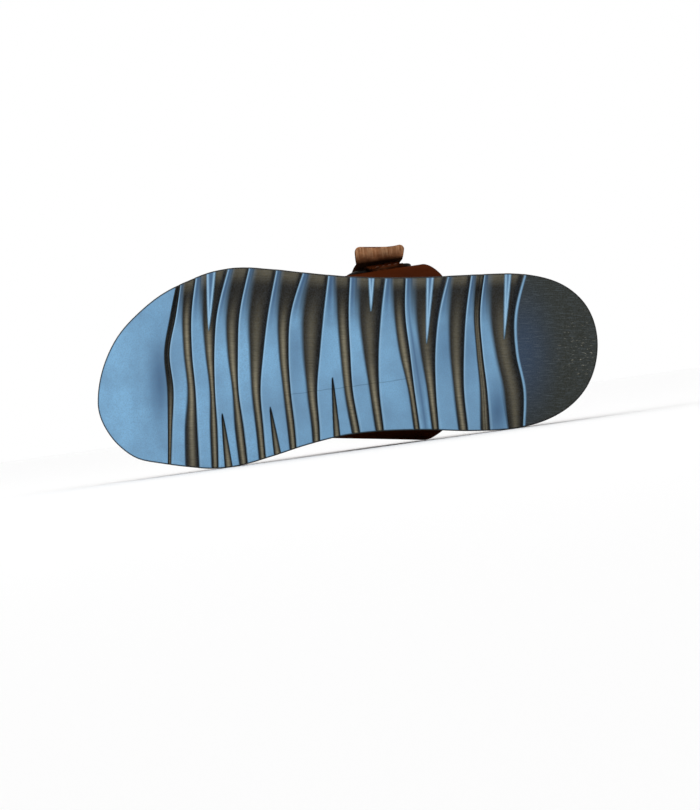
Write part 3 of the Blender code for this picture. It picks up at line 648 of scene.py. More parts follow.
def carve_tread(line):
    """How deep the tread lies under its lands on one line, and the masks that its colours need."""
    across = line["v"] / BALL_WIDTH
    outer_side = smooth((across - OUTER_START) / OUTER_REACH)
    inner_side = smooth((-INNER_START - across) / INNER_REACH)
    masks = {name: np.zeros_like(across) for name in TREAD_MASKS}
    if line["stripe"] is None:
        masks["land"] += 1.0
        return np.zeros_like(across), masks
    carve = carve_land if line["stripe"] % 2 else carve_groove
    return carve(line, outer_side, inner_side, masks), masks


def carve_land(line, outer_side, inner_side, masks):
    """A line along a raised bar: slightly dished on the outer side, and cut by the inner splits."""
    share = line["share"]
    to_toe_edge, to_heel_edge = (1 - share) * line["width"], share * line["width"]
    cut_in = spike_inside(INNER_SPLITS, TREAD_ACROSS[-1], line["u"], line["v"])
    cut = smooth(cut_in / SPIKE_SLOPE + 0.5)
    # painted shadow at the edges of the splits and along both borders of the inner lands
    shadow_border = np.clip(hump(to_toe_edge, 0.0, SHADOW_BORDER_WIDTH) + hump(to_heel_edge, 0.0, SHADOW_BORDER_WIDTH), 0, 1)
    masks["line"] = np.maximum(np.clip(4 * cut * (1 - cut), 0, 1), SHADOW_BORDER_STRENGTH * inner_side * shadow_border)
    # painted highlight along each land's toe-side edge, weaker on the inner side
    masks["rim"] = hump(to_toe_edge, HIGHLIGHT_RIM_WIDTH * inner_side, HIGHLIGHT_RIM_WIDTH)
    masks["rim"] *= 1 - (1 - INNER_HIGHLIGHT_STRENGTH) * inner_side
    masks["land"] = 1 - smooth(cut * SPLIT_BLACKNESS)
    # painted shade on the rounded heel-side shoulder of the outer lands, blended towards the groove's colour
    masks["land"] *= 1 - SHADED_SIDE_STRENGTH * outer_side * hump(to_heel_edge, 0.0, SHADED_SIDE_WIDTH)
    # painted shade in the dished cores of the outer lands
    masks["core"] = outer_side * (LAND_CORE_FLOOR + (1 - LAND_CORE_FLOOR) * hump(share, *LAND_CORE))
    # painted sheen inside the splits
    masks["sheen"] = SPLIT_SHEEN * smooth(cut_in / (2 * SPIKE_SLOPE))
    # painted shade in the centre of the narrow bars
    if line["stripe"] in NARROW_BARS:
        masks["core"] = np.maximum(masks["core"], NARROW_CORE_STRENGTH * hump(share, *NARROW_CORE))
    return SPLIT_DEPTH * cut + DISH_DEPTH * outer_side * np.sin(math.pi * share) ** 2


def carve_groove(line, outer_side, inner_side, masks):
    """A line along a groove: an upright wall, a flat floor and a long slope, with the outer fins in it."""
    share = line["share"]
    climb = np.clip((1 - share) / SLOPE_SHARE, 0.0, 1.0)
    depth = TREAD_DEPTH * np.minimum(smooth(share / WALL_SHARE), 0.5 * climb + 0.5 * smooth(climb))
    fin_in = spike_inside(OUTER_FINS, TREAD_ACROSS[0], line["u"], line["v"])
    fin = smooth(fin_in / SPIKE_SLOPE + 0.5)
    reach = SHOULDER_SHARE - SHOULDER_INNER_LOSS * inner_side
    shoulder = smooth((share - 1 + reach) / reach) * (1 - SHOULDER_OUTER_LOSS * outer_side)
    masks["land"] = np.maximum(np.maximum(1 - smooth(share / LIP_SHARE), shoulder), fin)
    # painted shadow at the groove's upright wall, at the foot of its slope on the inner side, along the
    # groove by the toe field and in the cored groove
    at_foot = SHADOW_STRENGTH * inner_side * hump(share, *FOOT_SHADOW)
    shadows = [hump(share, *WALL_SHADOW) * (1 - fin), at_foot]
    if line["stripe"] == len(LAND_EDGES) - 2:
        shadows.append((1 - inner_side) * np.sin(math.pi * share))
    if line["stripe"] == CORED_GROOVE:
        shadows.append(np.full_like(fin, SHADOW_STRENGTH * hump(share, *CORE_SHADOW)))
    masks["line"] = np.max(shadows, axis=0)
    # painted tan sheen along the middle of the grooves, brighter in narrow ones and along the outer edge
    narrow = smooth((WIDE_GROOVE - line["width"]) / (WIDE_GROOVE - NARROW_GROOVE))
    sheen = hump(share, *SHEEN_BAND) * (1 - outer_side) * (WIDE_SHEEN + (1 - WIDE_SHEEN) * narrow)
    near_edge = smooth(1 - ACROSS_SHARES / OUTER_SHEEN_REACH)
    masks["sheen"] = np.maximum(sheen, OUTER_SHEEN * near_edge) * (1 - fin)
    # painted highlight along the edges of the fins
    masks["rim"] = FIN_STRENGTH * hump(fin_in, HIGHLIGHT_RIM_WIDTH, HIGHLIGHT_RIM_WIDTH)
    # painted shade inside the fins
    masks["core"] = FIN_STRENGTH * smooth((fin_in - 1.5 * HIGHLIGHT_RIM_WIDTH) / FIN_FADE)
    return depth * (1 - fin) + np.minimum(FIN_DROP, depth) * fin


def all_patches(u, v, patches):
    """The sum of soft round patches, each with its own strength."""
    return sum(strength * patch(u, v, *place) for *place, strength in patches)


def shade_fields(u, v, masks):
    """The broad changes of tone over the lands: greyer at the waist, dark over the heel, with painted shade
    on the toe field, a painted navy reflection and scuffs on the heel, and a painted highlight along the heel
    field's edge.
    """
    boundary = np.interp(v, ACROSS_SAMPLES, LAND_EDGES[0])
    heel = smooth((boundary - u - HEEL_HIGHLIGHT_WIDTH) / HEEL_FADE)
    outer_dusk = OUTER_DUSK * smooth((v / BALL_WIDTH - OUTER_DUSK_START) / OUTER_DUSK_REACH)
    masks["dusk"] = np.clip(HEEL_DUSK * heel + all_patches(u, v, DUSK_PATCHES) + outer_dusk, 0, 1)
    # painted shade on the curving toe field, with darker blue on single lands further back
    deep = np.clip(all_patches(u, v, SHADE_AND_TONE_PATCHES), 0, 1)
    masks["core"] = np.maximum(masks["core"], deep * (1 - heel))
    # a painted navy reflection lightens the heel field near its edge
    masks["night"] = heel * np.clip(NIGHT_STRENGTH - NAVY_REFLECTION_STRENGTH * patch(u, v, *NAVY_REFLECTION_PATCH), 0, 1)
    masks["wear"] = heel * patch(u, v, *SCUFFED_PATCH)
    # painted highlight along the heel field's edge
    masks["rim"] = np.maximum(masks["rim"], HEEL_HIGHLIGHT_STRENGTH * hump(boundary, u, HEEL_HIGHLIGHT_WIDTH))


# The side walls: how soon the tread's colours fade on them, how black they are, and columns over the top
FADE_RINGS = 1.5
WALL_BLACKNESS = 0.35
TOP_COLUMNS = 9


def make_outsole():
    """The moulded sole: carved tread, rounded edges, upright sides and a flat upper side."""
    shell = Shell(*TREAD_MASKS, *TREAD_PLACES)
    lines = tread_lines()
    rows = []
    masks = {name: [] for name in TREAD_MASKS + TREAD_PLACES}
    for line in lines:
        depth, found = carve_tread(line)
        shade_fields(line["u"], line["v"], found)
        found["ahead"], found["beside"] = line["u"], line["v"]
        rows.append(np.stack([line["u"], line["v"], tread_height(line["u"]) + depth], axis=1))
        for name, held in masks.items():
            held.append(found[name])
    rows = np.array(rows)
    shell.add(rows, **{name: np.array(held) for name, held in masks.items()})

    edge, out = [], []
    for side, column in ((1, 0), (-1, -1)):
        order = range(len(lines)) if side == 1 else range(len(lines) - 2, 0, -1)
        for i in order:
            turn = lines[i]["turns"][0 if side == 1 else 1]
            edge.append(rows[i, column])
            out.append(tread_outline.place(side, turn)[1])
    edge, out = np.array(edge), np.array(out)
    rings = []
    for turn in np.linspace(0.0, math.pi / 2, ROUND_STEPS + 1):
        rings.append((edge[:, 2] + TREAD_EDGE * (1 - math.cos(turn)), TREAD_EDGE * math.sin(turn)))
    top = sole_top(edge[:, 0])
    low = rings[-1][0]
    for share in evenly(0.0, 1.0, WALL_STEPS)[1:]:
        rings.append((low + (top - TOP_EDGE - low) * share, TREAD_EDGE))
    for turn in np.linspace(0.0, math.pi / 2, ROUND_STEPS + 1)[1:]:
        reach = TREAD_EDGE - TOP_EDGE * (1 - math.cos(turn))
        rings.append((top - TOP_EDGE * (1 - math.sin(turn)), reach))
    places = [np.column_stack([edge[:, :2] + out * reach, height]) for height, reach in rings]
    fade = np.clip(1 - np.arange(len(rings)) / FADE_RINGS, 0, 1)[:, None]
    around = {name: np.array(held) for name, held in masks.items()}
    around = {name: np.concatenate([held[:, 0], held[-2:0:-1, -1]])[None, :] for name, held in around.items()}
    kept = TREAD_PLACES + ("dusk", "night")
    walls = {name: held * (1 if name in kept else fade) for name, held in around.items()}
    walls["line"] = np.maximum(walls["line"], (1 - fade) * WALL_BLACKNESS)
    shell.add(places, ring=True, **walls)

    last = places[-1]
    count = len(lines)
    outer, inner = last[:count], np.concatenate([last[:1], last[:count - 1:-1], last[count - 1 : count]])
    shares = np.linspace(0.0, 1.0, TOP_COLUMNS)[None, :, None]
    shell.add(outer[:, None] * (1 - shares) + inner[:, None] * shares)
    return shell.piece("moulded_sole", sharp=SOLE_SHARP)


# The footbed


# The footbed's form: where along the sole its arch is, how far each rise reaches, and how steep they are
ARCH_ALONG = 0.42
ARCH_REACH = 0.12
WAIST_REACH = 0.15
CUP_REACH = 0.22
TOE_REACH = 0.25
CUP_STEEPNESS = 2.4
ARCH_STEEPNESS = 1.6


def footbed_height(x, share):
    """The footbed's upper side: cupped at the heel, raised at the inner arch, with a low rim at the toe."""
    along = x / LENGTH
    rim = HEEL_CUP * hump(along, 0.0, CUP_REACH) + TOE_RIM * hump(along, 1.0, TOE_REACH)
    arch = ARCH_RISE * hump(along, ARCH_ALONG, ARCH_REACH) * np.clip(2 * share - 1, 0, None) ** ARCH_STEEPNESS
    waist = TOE_RIM * hump(along, ARCH_ALONG, WAIST_REACH) * np.clip(1 - 2 * share, 0, None) ** 2
    edge = np.abs(2 * share - 1) ** CUP_STEEPNESS
    return sole_top(x) + GAP + INSOLE_THICKNESS + rim * edge + arch + waist


# Where a foot has pressed the footbed: share of the length, share of the ball width, reach and depth
FOOT_DENTS = (
    # along, across, reach along, reach across, depth
    (0.135, 0.00, 0.085, 0.20, 0.0009),
    (0.700, -0.30, 0.060, 0.15, 0.0008),
    (0.675, -0.02, 0.060, 0.15, 0.0005),
    (0.640, 0.18, 0.060, 0.12, 0.0006),
    (0.885, -0.39, 0.045, 0.10, 0.0009),
    (0.880, -0.20, 0.024, 0.055, 0.0006),
    (0.860, -0.07, 0.022, 0.050, 0.0005),
    (0.832, 0.05, 0.020, 0.048, 0.0005),
    (0.795, 0.17, 0.020, 0.045, 0.0004),
)


DEEPEST_DENT = 0.0009
DENT_MARGIN = 0.10
WAXED_MARGIN = 0.03


def foot_print(u, v):
    """How much the foot has pressed each place, in metres."""
    return all_patches(u, v, FOOT_DENTS)


def make_footbed():
    """The footbed with rounded edge, cupped heel and the marks of a foot."""
    shell = Shell("print", "edge")
    turns = np.linspace(0.0, math.pi, FOOTBED_STATIONS + 1)
    outline = Outline(INSOLE_INSET)
    sides = {side: [outline.place(side, turn) for turn in turns] for side in (1, -1)}
    outer, outer_way = (np.array(held) for held in zip(*sides[1]))
    inner, inner_way = (np.array(held) for held in zip(*sides[-1]))
    ends = np.zeros(len(turns))
    ends[1:-1] = 1.0

    def ring(inset, height):
        first = outer - outer_way * inset
        second = inner - inner_way * inset
        low = np.column_stack([first, height(first[:, 0], 0.0 * ends)])
        high = np.column_stack([second, height(second[:, 0], ends)])
        return np.concatenate([low, high[-2:0:-1]])

    rings = [ring(0.0, lambda x, share: sole_top(x) + GAP)]
    for part in evenly(0.0, 1.0, 4)[1:]:
        rings.append(ring(0.0, lambda x, share: rings_between(x, share, part)))
    for turn in np.linspace(0.0, math.pi / 2, ROUND_STEPS + 1)[1:]:
        drop = INSOLE_EDGE * (1 - math.sin(turn))
        inset = INSOLE_EDGE * (1 - math.cos(turn))
        rings.append(ring(inset, lambda x, share: footbed_height(x, share) - drop))
    shell.add(rings, ring=True, edge=1.0)

    shares = (1 - np.cos(np.linspace(0.0, math.pi, FOOTBED_ROWS + 1))) / 2
    first = outer - outer_way * INSOLE_EDGE
    second = inner - inner_way * INSOLE_EDGE
    places = first[:, None] * (1 - shares[None, :, None]) + second[:, None] * shares[None, :, None]
    held = shares[None, :] * ends[:, None]
    pressed = foot_print(places[..., 0], places[..., 1])
    from_side = np.minimum(shares, 1 - shares)[None, :]
    inward = smooth(from_side / DENT_MARGIN)
    height = footbed_height(places[..., 0], held) - pressed * inward
    top = np.concatenate([places, height[..., None]], axis=-1)
    shell.add(top, print=pressed / DEEPEST_DENT, edge=1 - smooth(from_side / WAXED_MARGIN))

    low = np.array(rings[0])
    count = len(turns)
    back = np.concatenate([low[:1], low[:count - 1:-1], low[count - 1 : count]])
    shell.add(np.stack([low[:count], back], axis=1), edge=1.0)
    made = shell.piece("footbed", sharp=FOOTBED_SHARP)
    cut_from(made, band_roots("footbed_notches", NOTCH_REACH, 6))
    return made


def rings_between(x, share, part):
    """A height on the footbed's upright side, part of the way up to its rounded edge."""
    low = sole_top(x) + GAP
    return low + (footbed_height(x, share) - INSOLE_EDGE - low) * part


# The band


def band_edges():
    """The band's rear and front edge as smooth curves of one share of the way over the arch."""
    scale = Vector((LENGTH, BAND_HALF_WIDTH, BAND_HEIGHT))
    front = [Vector(row[1:4]) * scale for row in BAND_ARCH]
    rear = [Vector(row[4:7]) * scale for row in BAND_ARCH]
    middle = [(a + b) / 2 for a, b in zip(front, rear)]
    ways = [0.0]
    for a, b in zip(middle, middle[1:]):
        ways.append(ways[-1] + (b - a).length)
    knots = [way / ways[-1] for way in ways]
    return smooth_curve(knots, rear), smooth_curve(knots, front)


band_rear, band_front = band_edges()


def band_point(over, forward):
    """A point of the band's middle surface: over from inner to outer root, forward from rear to front."""
    rear, front = Vector(band_rear(over)), Vector(band_front(over))
    return rear.lerp(front, forward)


def band_normal(over, forward):
    """The direction that points out of the band there."""
    step = 1e-3
    up = band_point(over + step, forward) - band_point(over - step, forward)
    ahead = band_point(over, forward + step) - band_point(over, forward - step)
    return ahead.cross(up).normalized()


def on_band(over, forward, out):
    """A point at a distance out from the band's outer surface."""
    reach = BAND_WALL / 2 + out
    return band_point(over, forward) + band_normal(over, forward) * reach


def band_length():
    """The way over the band's middle line, from root to root."""
    points = [band_point(over, 0.5) for over in evenly(0.0, 1.0, LENGTH_SAMPLES)]
    return sum((b - a).length for a, b in zip(points, points[1:]))


ROOT_ROWS = 30
ROOT_COLUMNS = 7


def band_roots(name, outside, rows):
    """Bodies around the band's two roots, on its own rows, to be cut from what the band stands in."""
    shape = bmesh.new()
    inside = BAND_WALL / 2 + SLOT_GAP
    for outer_root in (False, True):
        overs = [-SLOT_GAP / band_length()] + [row / ROOT_ROWS for row in range(rows + 1)]
        if outer_root:
            overs = [1 - over for over in overs]
        width = (band_point(overs[1], 1.0) - band_point(overs[1], 0.0)).length
        ends = SLOT_END_GAP / width
        sections = []
        for forward in [-ends, *evenly(0.0, 1.0, ROOT_COLUMNS), 1 + ends]:
            section = []
            for reach, way in ((-inside, overs), (outside, reversed(overs))):
                for over in way:
                    place = band_point(over, forward) + band_normal(over, forward) * reach
                    section.append(shape.verts.new(laid_down @ place))
            sections.append(section)
        for first, second in zip(sections, sections[1:]):
            for i in range(len(first)):
                j = (i + 1) % len(first)
                shape.faces.new((first[i], first[j], second[j], second[i]))
        shape.faces.new(sections[0])
        shape.faces.new(list(reversed(sections[-1])))
    bmesh.ops.recalc_face_normals(shape, faces=shape.faces)
    mesh = bpy.data.meshes.new(name)
    shape.to_mesh(mesh)
    shape.free()
    made = bpy.data.objects.new(name, mesh)
    bpy.context.scene.collection.objects.link(made)
    return made


def cut_from(piece, cutter):
    """Cuts the cutter from the piece for good, and removes the cutter."""
    cut = piece.modifiers.new("cut", "BOOLEAN")
    cut.operation = "DIFFERENCE"
    cut.solver = "EXACT"
    cut.object = cutter
    graph = bpy.context.evaluated_depsgraph_get()
    mesh = bpy.data.meshes.new_from_object(piece.evaluated_get(graph))
    piece.modifiers.clear()
    piece.data = mesh
    bpy.data.objects.remove(cutter)


BAND_ROUND_STEPS = 5
STRIP_ROUND_STEPS = 4


def edge_turns(steps):
    """The angles of the points between both faces on a strip's rounded edge."""
    return np.linspace(0.0, math.pi, steps + 2)[1:-1]


def leather_section(width, thickness, edge, steps):
    """The section of a leather strip: points (across, out) around it from its rear edge, and their masks."""
    across, out, flesh, cut = [], [], [], []
    for side in (1, -1):
        first, last = (edge, width - edge)[::side]
        half = side * thickness / 2
        for at in np.linspace(first, last, steps + 1):
            across.append(at)
            out.append(half)
            flesh.append((1 - side) / 2)
            cut.append(0.0)
        for turn in edge_turns(BAND_ROUND_STEPS):
            across.append(last + side * edge * math.sin(turn))
            out.append(half * math.cos(turn))
            flesh.append(0.5)
            cut.append(1.0)
    return np.array(across), np.array(out), np.array(flesh), np.array(cut)


def close_end(shell, row, columns, rounds, **masks):
    """Closes a strip's end by joining its outer points to its inner ones."""
    outer, front = row[:columns], row[columns : columns + rounds]
    inner, rear = row[columns + rounds : 2 * columns + rounds][::-1], row[2 * columns + rounds :][::-1]
    shell.add(np.stack([outer, inner], axis=1), flesh=0.5, cut=1.0, **masks)
    for curve, first, last in ((front, outer[-1], inner[-1]), (rear, outer[0], inner[0])):
        line = np.concatenate([[first], curve, [last]])
        middle = np.broadcast_to((first + last) / 2, line.shape)
        shell.add(np.stack([line, middle], axis=1), flesh=0.5, cut=1.0, **masks)


# Soft creases of the band where the foot bends: share over the arch, share forward, reaches and height
BAND_CREASES = (
    # over, forward, reach over, reach forward, height out
    (0.235, 0.86, 0.020, 0.30, 0.0006),
    (0.275, 0.90, 0.016, 0.26, -0.0007),
    (0.315, 0.88, 0.018, 0.24, 0.0005),
    (0.700, 0.90, 0.018, 0.24, 0.0006),
    (0.740, 0.92, 0.016, 0.22, -0.0007),
    (0.500, 1.00, 0.120, 0.16, 0.0008),
    (0.500, 0.00, 0.140, 0.12, 0.0006),
)


CREASE_MARGIN = 0.125
LOW_SHARE = 0.14


def band_crease(over, forward):
    """How far the worn band stands out of its even surface."""
    lift = 0.0
    for at, ahead, reach_over, reach_forward, height in BAND_CREASES:
        lift += height * hump(over, at, reach_over) * hump(forward, ahead, reach_forward)
    return lift


def make_band():
    """The wide leather band, with rounded cut edges and soft creases from walking."""
    shell = Shell("flesh", "cut", "low")
    rows, low = [], []
    for over in evenly(0.0, 1.0, BAND_ROWS):
        width = (band_point(over, 1.0) - band_point(over, 0.0)).length
        across, out, flesh, cut = leather_section(width, BAND_WALL, BAND_EDGE, BAND_STEPS)
        row = []
        for at, reach in zip(across, out):
            forward = at / width
            lift = band_crease(over, forward) * smooth(min(over, 1 - over) / CREASE_MARGIN)
            row.append(band_point(over, forward) + band_normal(over, forward) * (reach + lift))
        rows.append([tuple(point) for point in row])
        # where painted shade darkens the band near its roots
        low.append([1 - smooth(min(over, 1 - over) / LOW_SHARE)] * len(row))
    shell.add(rows, ring=True, flesh=flesh[None, :], cut=cut[None, :], low=np.array(low))
    for row in (rows[0], rows[-1]):
        close_end(shell, np.array(row), BAND_STEPS + 1, BAND_ROUND_STEPS)
    return shell.piece("leather_band", sharp=LEATHER_SHARP)


# The buckle and its strap


def buckle_line():
    """The outer surface's way over the arch under the strap, as a function from metres to the share over.

    Zero is the buckle's middle, which lies BUCKLE_DOWN from the crown's row towards the outer side.
    """
    overs = evenly(0.0, 1.0, OVER_SAMPLES)
    ways = [0.0]
    points = [on_band(over, BUCKLE_ALONG, 0.0) for over in overs]
    for a, b in zip(points, points[1:]):
        ways.append(ways[-1] + (b - a).length)
    crown = max(range(len(points)), key=lambda i: points[i].z)
    middle = ways[crown] + BUCKLE_DOWN
    return lambda way: float(np.interp(way + middle, ways, overs))


over_at = buckle_line()


def beside_buckle(way, ahead, out):
    """A point from the buckle's middle: its way down the arch, its distance ahead and its height out."""
    over = over_at(way)
    width = (band_point(over, 1.0) - band_point(over, 0.0)).length
    return on_band(over, BUCKLE_ALONG + ahead / width, out)


FRAME_HALF = FRAME_LENGTH / 2 - FRAME_BAR / 2
FRAME_OUT = GAP + STRAP_THICKNESS + GAP + FRAME_THICKNESS / 2
PRONG_TURN = FRAME_PIN / 2 + PIN_GAP + PRONG_BAR / 2
PRONG_OUT = FRAME_OUT + PRONG_TURN
STRAP_LOW = GAP + STRAP_THICKNESS / 2
STRAP_HIGH = PRONG_OUT + PRONG_BAR / 2 + GAP + STRAP_THICKNESS / 2
STRAP_CROSSING = (
    # place between the bars, share of the rise from under the upper bar to over the lower bar
    (-1.00, 0.00),
    (-0.60, 0.04),
    (-0.20, 0.26),
    (0.33, 0.76),
    (0.72, 0.97),
    (1.00, 1.00),
)
strap_rise = smooth_curve(
    [FRAME_HALF * place for place, _ in STRAP_CROSSING],
    [STRAP_LOW + (STRAP_HIGH - STRAP_LOW) * share for _, share in STRAP_CROSSING],
)


TAIL_HANG = (
    # share of the free tail, share of its reach outwards, share of its drop
    (0.00, 0.00, 0.00),
    (0.35, 0.22, 0.45),
    (0.70, 0.58, 0.80),
    (1.00, 1.00, 1.00),
)


# Rows along the strap: shares of its round tip, then on the band, through the buckle and down the tail
STRAP_TIP_SHARES = (0.0, 0.02, 0.07, 0.15, 0.27, 0.42, 0.60, 0.80, 1.0)
STRAP_ROWS = 44
CROSSING_ROWS = 20
TAIL_EVEN = 0.84
TAIL_ROWS = 16
TAIL_END_SHARES = (0.88, 0.91, 0.94, 0.96, 0.975, 0.988, 0.996, 1.0)


def rounded_off(from_end, radius):
    """How much a rounded corner takes off each side, at a distance from the end."""
    inward = max(0.0, 1 - from_end / radius)
    return radius * (1 - math.sqrt(1 - inward * inward))


def strap_rows():
    """The strap's middle surface as rows across: on the band, through the buckle, and its free tail."""
    rows, tails = [], []
    shares = np.linspace(-1.0, 1.0, STRAP_STEPS + 1)
    tip = [STRAP_TIP_RADIUS * share for share in STRAP_TIP_SHARES]
    for from_end in tip + evenly(STRAP_TIP_RADIUS, STRAP_RUN - FRAME_HALF, STRAP_ROWS)[1:]:
        half = STRAP_WIDTH / 2 - rounded_off(from_end, STRAP_TIP_RADIUS)
        rows.append([beside_buckle(from_end - STRAP_RUN, half * share, STRAP_LOW) for share in shares])
        tails.append(0.0)
    for way in evenly(-FRAME_HALF, FRAME_HALF, CROSSING_ROWS)[1:]:
        out = float(strap_rise(way))
        rows.append([beside_buckle(way, STRAP_WIDTH / 2 * share, out) for share in shares])
        tails.append(0.0)
    tail = smooth_curve([row[0] for row in TAIL_HANG], [row[1:] for row in TAIL_HANG])
    start = beside_buckle(FRAME_HALF, 0.0, STRAP_HIGH)
    tail_length = math.hypot(TAIL_ACROSS - start.y, TAIL_DROP)
    for step in (*evenly(0.0, TAIL_EVEN, TAIL_ROWS)[1:], *TAIL_END_SHARES):
        reach, drop = tail(step)
        half = STRAP_WIDTH / 2 + (TAIL_WIDTH - STRAP_WIDTH) / 2 * step
        half -= rounded_off((1 - step) * tail_length, TAIL_CORNER)
        row = []
        for share in shares:
            point = beside_buckle(FRAME_HALF, half * share, STRAP_HIGH)
            curl = TAIL_CURL * step * step * max(0.0, -share) ** 2
            out = (TAIL_ACROSS - point.y) * reach + curl
            row.append(point + Vector((0.0, out, -TAIL_DROP * drop)))
        rows.append(row)
        tails.append(step)
    return np.array([[tuple(point) for point in row] for row in rows]), np.array(tails)


def leather_strip(shell, middle, thickness, **masks):
    """A strip of leather with rounded cut edges around rows of its middle surface."""
    along = np.gradient(middle, axis=0)
    across = np.gradient(middle, axis=1)
    normal = np.cross(across, along)
    normal = normal / np.maximum(np.linalg.norm(normal, axis=2, keepdims=True), 1e-12)
    sideways = across / np.linalg.norm(across, axis=2, keepdims=True)
    columns = middle.shape[1]
    ring, flesh, cut = [], [], []
    for side in (1, -1):
        half = side * thickness / 2
        for j in range(columns)[::side]:
            inset = {0: STRAP_EDGE, columns - 1: -STRAP_EDGE}.get(j, 0.0)
            ring.append(middle[:, j] + sideways[:, j] * inset + normal[:, j] * half)
            flesh.append((1 - side) / 2)
            cut.append(0.0)
        last = -1 if side == 1 else 0
        for turn in edge_turns(STRIP_ROUND_STEPS):
            reach = side * STRAP_EDGE * (math.sin(turn) - 1)
            ring.append(middle[:, last] + sideways[:, last] * reach + normal[:, last] * half * math.cos(turn))
            flesh.append(0.5)
            cut.append(1.0)
    ring = np.stack(ring, axis=1)
    found = {name: np.asarray(value)[:, None] for name, value in masks.items()}
    shell.add(ring, ring=True, flesh=np.array(flesh)[None, :], cut=np.array(cut)[None, :], **found)
    for end in (0, -1):
        end_masks = {name: held[end] for name, held in found.items()}
        close_end(shell, ring[end], columns, STRIP_ROUND_STEPS, **end_masks)


def make_strap():
    """The strap, with grain outside, nap inside and a tan cut edge."""
    shell = Shell("flesh", "cut", "tail")
    middle, tails = strap_rows()
    leather_strip(shell, middle, STRAP_THICKNESS, tail=tails)
    return shell.piece("buckle_strap_leather", sharp=LEATHER_SHARP)


# The tab's turn around the lower bar in degrees, and how it settles back onto itself
CHAPE_TURN = range(-110, -271, -10)
CHAPE_FIRST = 0.27
CHAPE_SECOND = 0.60
CHAPE_SAG = 0.3


def make_chape():
    """The folded tab: up the band, round the lower bar and back down over itself."""
    turn_radius = FRAME_PIN / 2 + PIN_GAP + CHAPE_THICKNESS / 2
    under = GAP + CHAPE_THICKNESS / 2
    over = under + CHAPE_THICKNESS + GAP
    low = FRAME_OUT - turn_radius
    places = [(way, under) for way in evenly(FRAME_HALF + CHAPE_RUN, FRAME_HALF + CHAPE_LEAVE, 12)]
    places.append((FRAME_HALF, low))
    for degrees in CHAPE_TURN:
        turn = math.radians(degrees)
        way = FRAME_HALF + turn_radius * math.cos(turn)
        places.append((way, FRAME_OUT + turn_radius * math.sin(turn)))
    high = FRAME_OUT + turn_radius
    places.append((FRAME_HALF + CHAPE_FIRST * CHAPE_SETTLE, high - CHAPE_SAG * CHAPE_THICKNESS))
    places.append((FRAME_HALF + CHAPE_SECOND * CHAPE_SETTLE, (high + over) / 2))
    places += [(way, over) for way in evenly(FRAME_HALF + CHAPE_SETTLE, FRAME_HALF + CHAPE_FOLD, 8)]
    shares = np.linspace(-1.0, 1.0, 9)
    middle = np.array(
        [[tuple(beside_buckle(way, CHAPE_WIDTH / 2 * share, out)) for share in shares] for way, out in places]
    )
    shell = Shell("flesh", "cut", "tail")
    leather_strip(shell, middle, CHAPE_THICKNESS)
    return shell.piece("folded_chape", sharp=LEATHER_SHARP)


PRONG_SIDES = 14
BAR_SIDES = 20
BAR_SIDE_ROUNDING = 0.55
BAR_FACE_ROUNDING = 0.65
CORNER_STEPS = 10


def frame_line(corner_steps):
    """The frame's middle line: way, ahead, the direction outwards in its plane, and half its bar's width."""
    half_way = FRAME_HALF - FRAME_CORNER
    half_ahead = (FRAME_WIDTH - FRAME_BAR) / 2 - FRAME_CORNER
    places = []
    for corner, (way_side, ahead_side) in enumerate(((1, 1), (-1, 1), (-1, -1), (1, -1))):
        for step in range(corner_steps + 1):
            turn = math.radians(90 * (corner + step / corner_steps))
            way = half_way * way_side + FRAME_CORNER * math.cos(turn)
            ahead = half_ahead * ahead_side + FRAME_CORNER * math.sin(turn)
            places.append((way, ahead, math.cos(turn), math.sin(turn), FRAME_BAR / 2))
        if corner in (0, 2):
            for share in (0.5, 0.0, -0.5):
                places.append((half_way * share * ahead_side, ahead, 0.0, ahead_side, FRAME_BAR / 2))
        if corner == 1:
            for share in evenly(0.8, -0.8, 8):
                places.append((-FRAME_HALF, half_ahead * share, -1.0, 0.0, FRAME_BAR / 2))
    pin_end = CHAPE_WIDTH / 2 + GAP
    for share in evenly(-1.0, 1.0, 8):
        places.append((FRAME_HALF, pin_end * share, 1.0, 0.0, FRAME_PIN / 2))
    return places


def make_frame():
    """The buckle's frame: a rounded rectangle of flat bar that follows the band, with a round lower bar."""
    shell = Shell("edge")
    turns = np.linspace(0.0, 2 * math.pi, BAR_SIDES, endpoint=False)
    sideways = np.sign(np.cos(turns)) * np.abs(np.cos(turns)) ** BAR_SIDE_ROUNDING
    up = np.sign(np.sin(turns)) * np.abs(np.sin(turns)) ** BAR_FACE_ROUNDING
    rows = []
    for way, ahead, out_way, out_ahead, half in frame_line(CORNER_STEPS):
        row = []
        for side, rise in zip(sideways, up):
            reach = side * half
            height = FRAME_OUT + rise * FRAME_THICKNESS / 2
            row.append(tuple(beside_buckle(way + out_way * reach, ahead + out_ahead * reach, height)))
        rows.append(row)
    rows.append(rows[0])
    worn = np.abs(np.cos(2 * turns - math.pi / 2)) ** 3
    shell.add(rows, ring=True, edge=worn[None, :])
    return shell.piece("buckle_bar_frame", sharp=0)


def bar_rows(points, radii, steps, beside):
    """Rings of a round bar of changing width through the points, which never run along beside."""
    points = np.array(points)
    along = np.gradient(points, axis=0)
    along /= np.linalg.norm(along, axis=1)[:, None]
    side = np.cross(along, np.array(beside))
    side /= np.linalg.norm(side, axis=1)[:, None]
    other = np.cross(along, side)
    turns = np.linspace(0.0, 2 * math.pi, steps, endpoint=False)
    radii = np.array(radii)[:, None, None]
    round_way = side[:, None] * np.cos(turns)[None, :, None] + other[:, None] * np.sin(turns)[None, :, None]
    return points[:, None] + round_way * radii


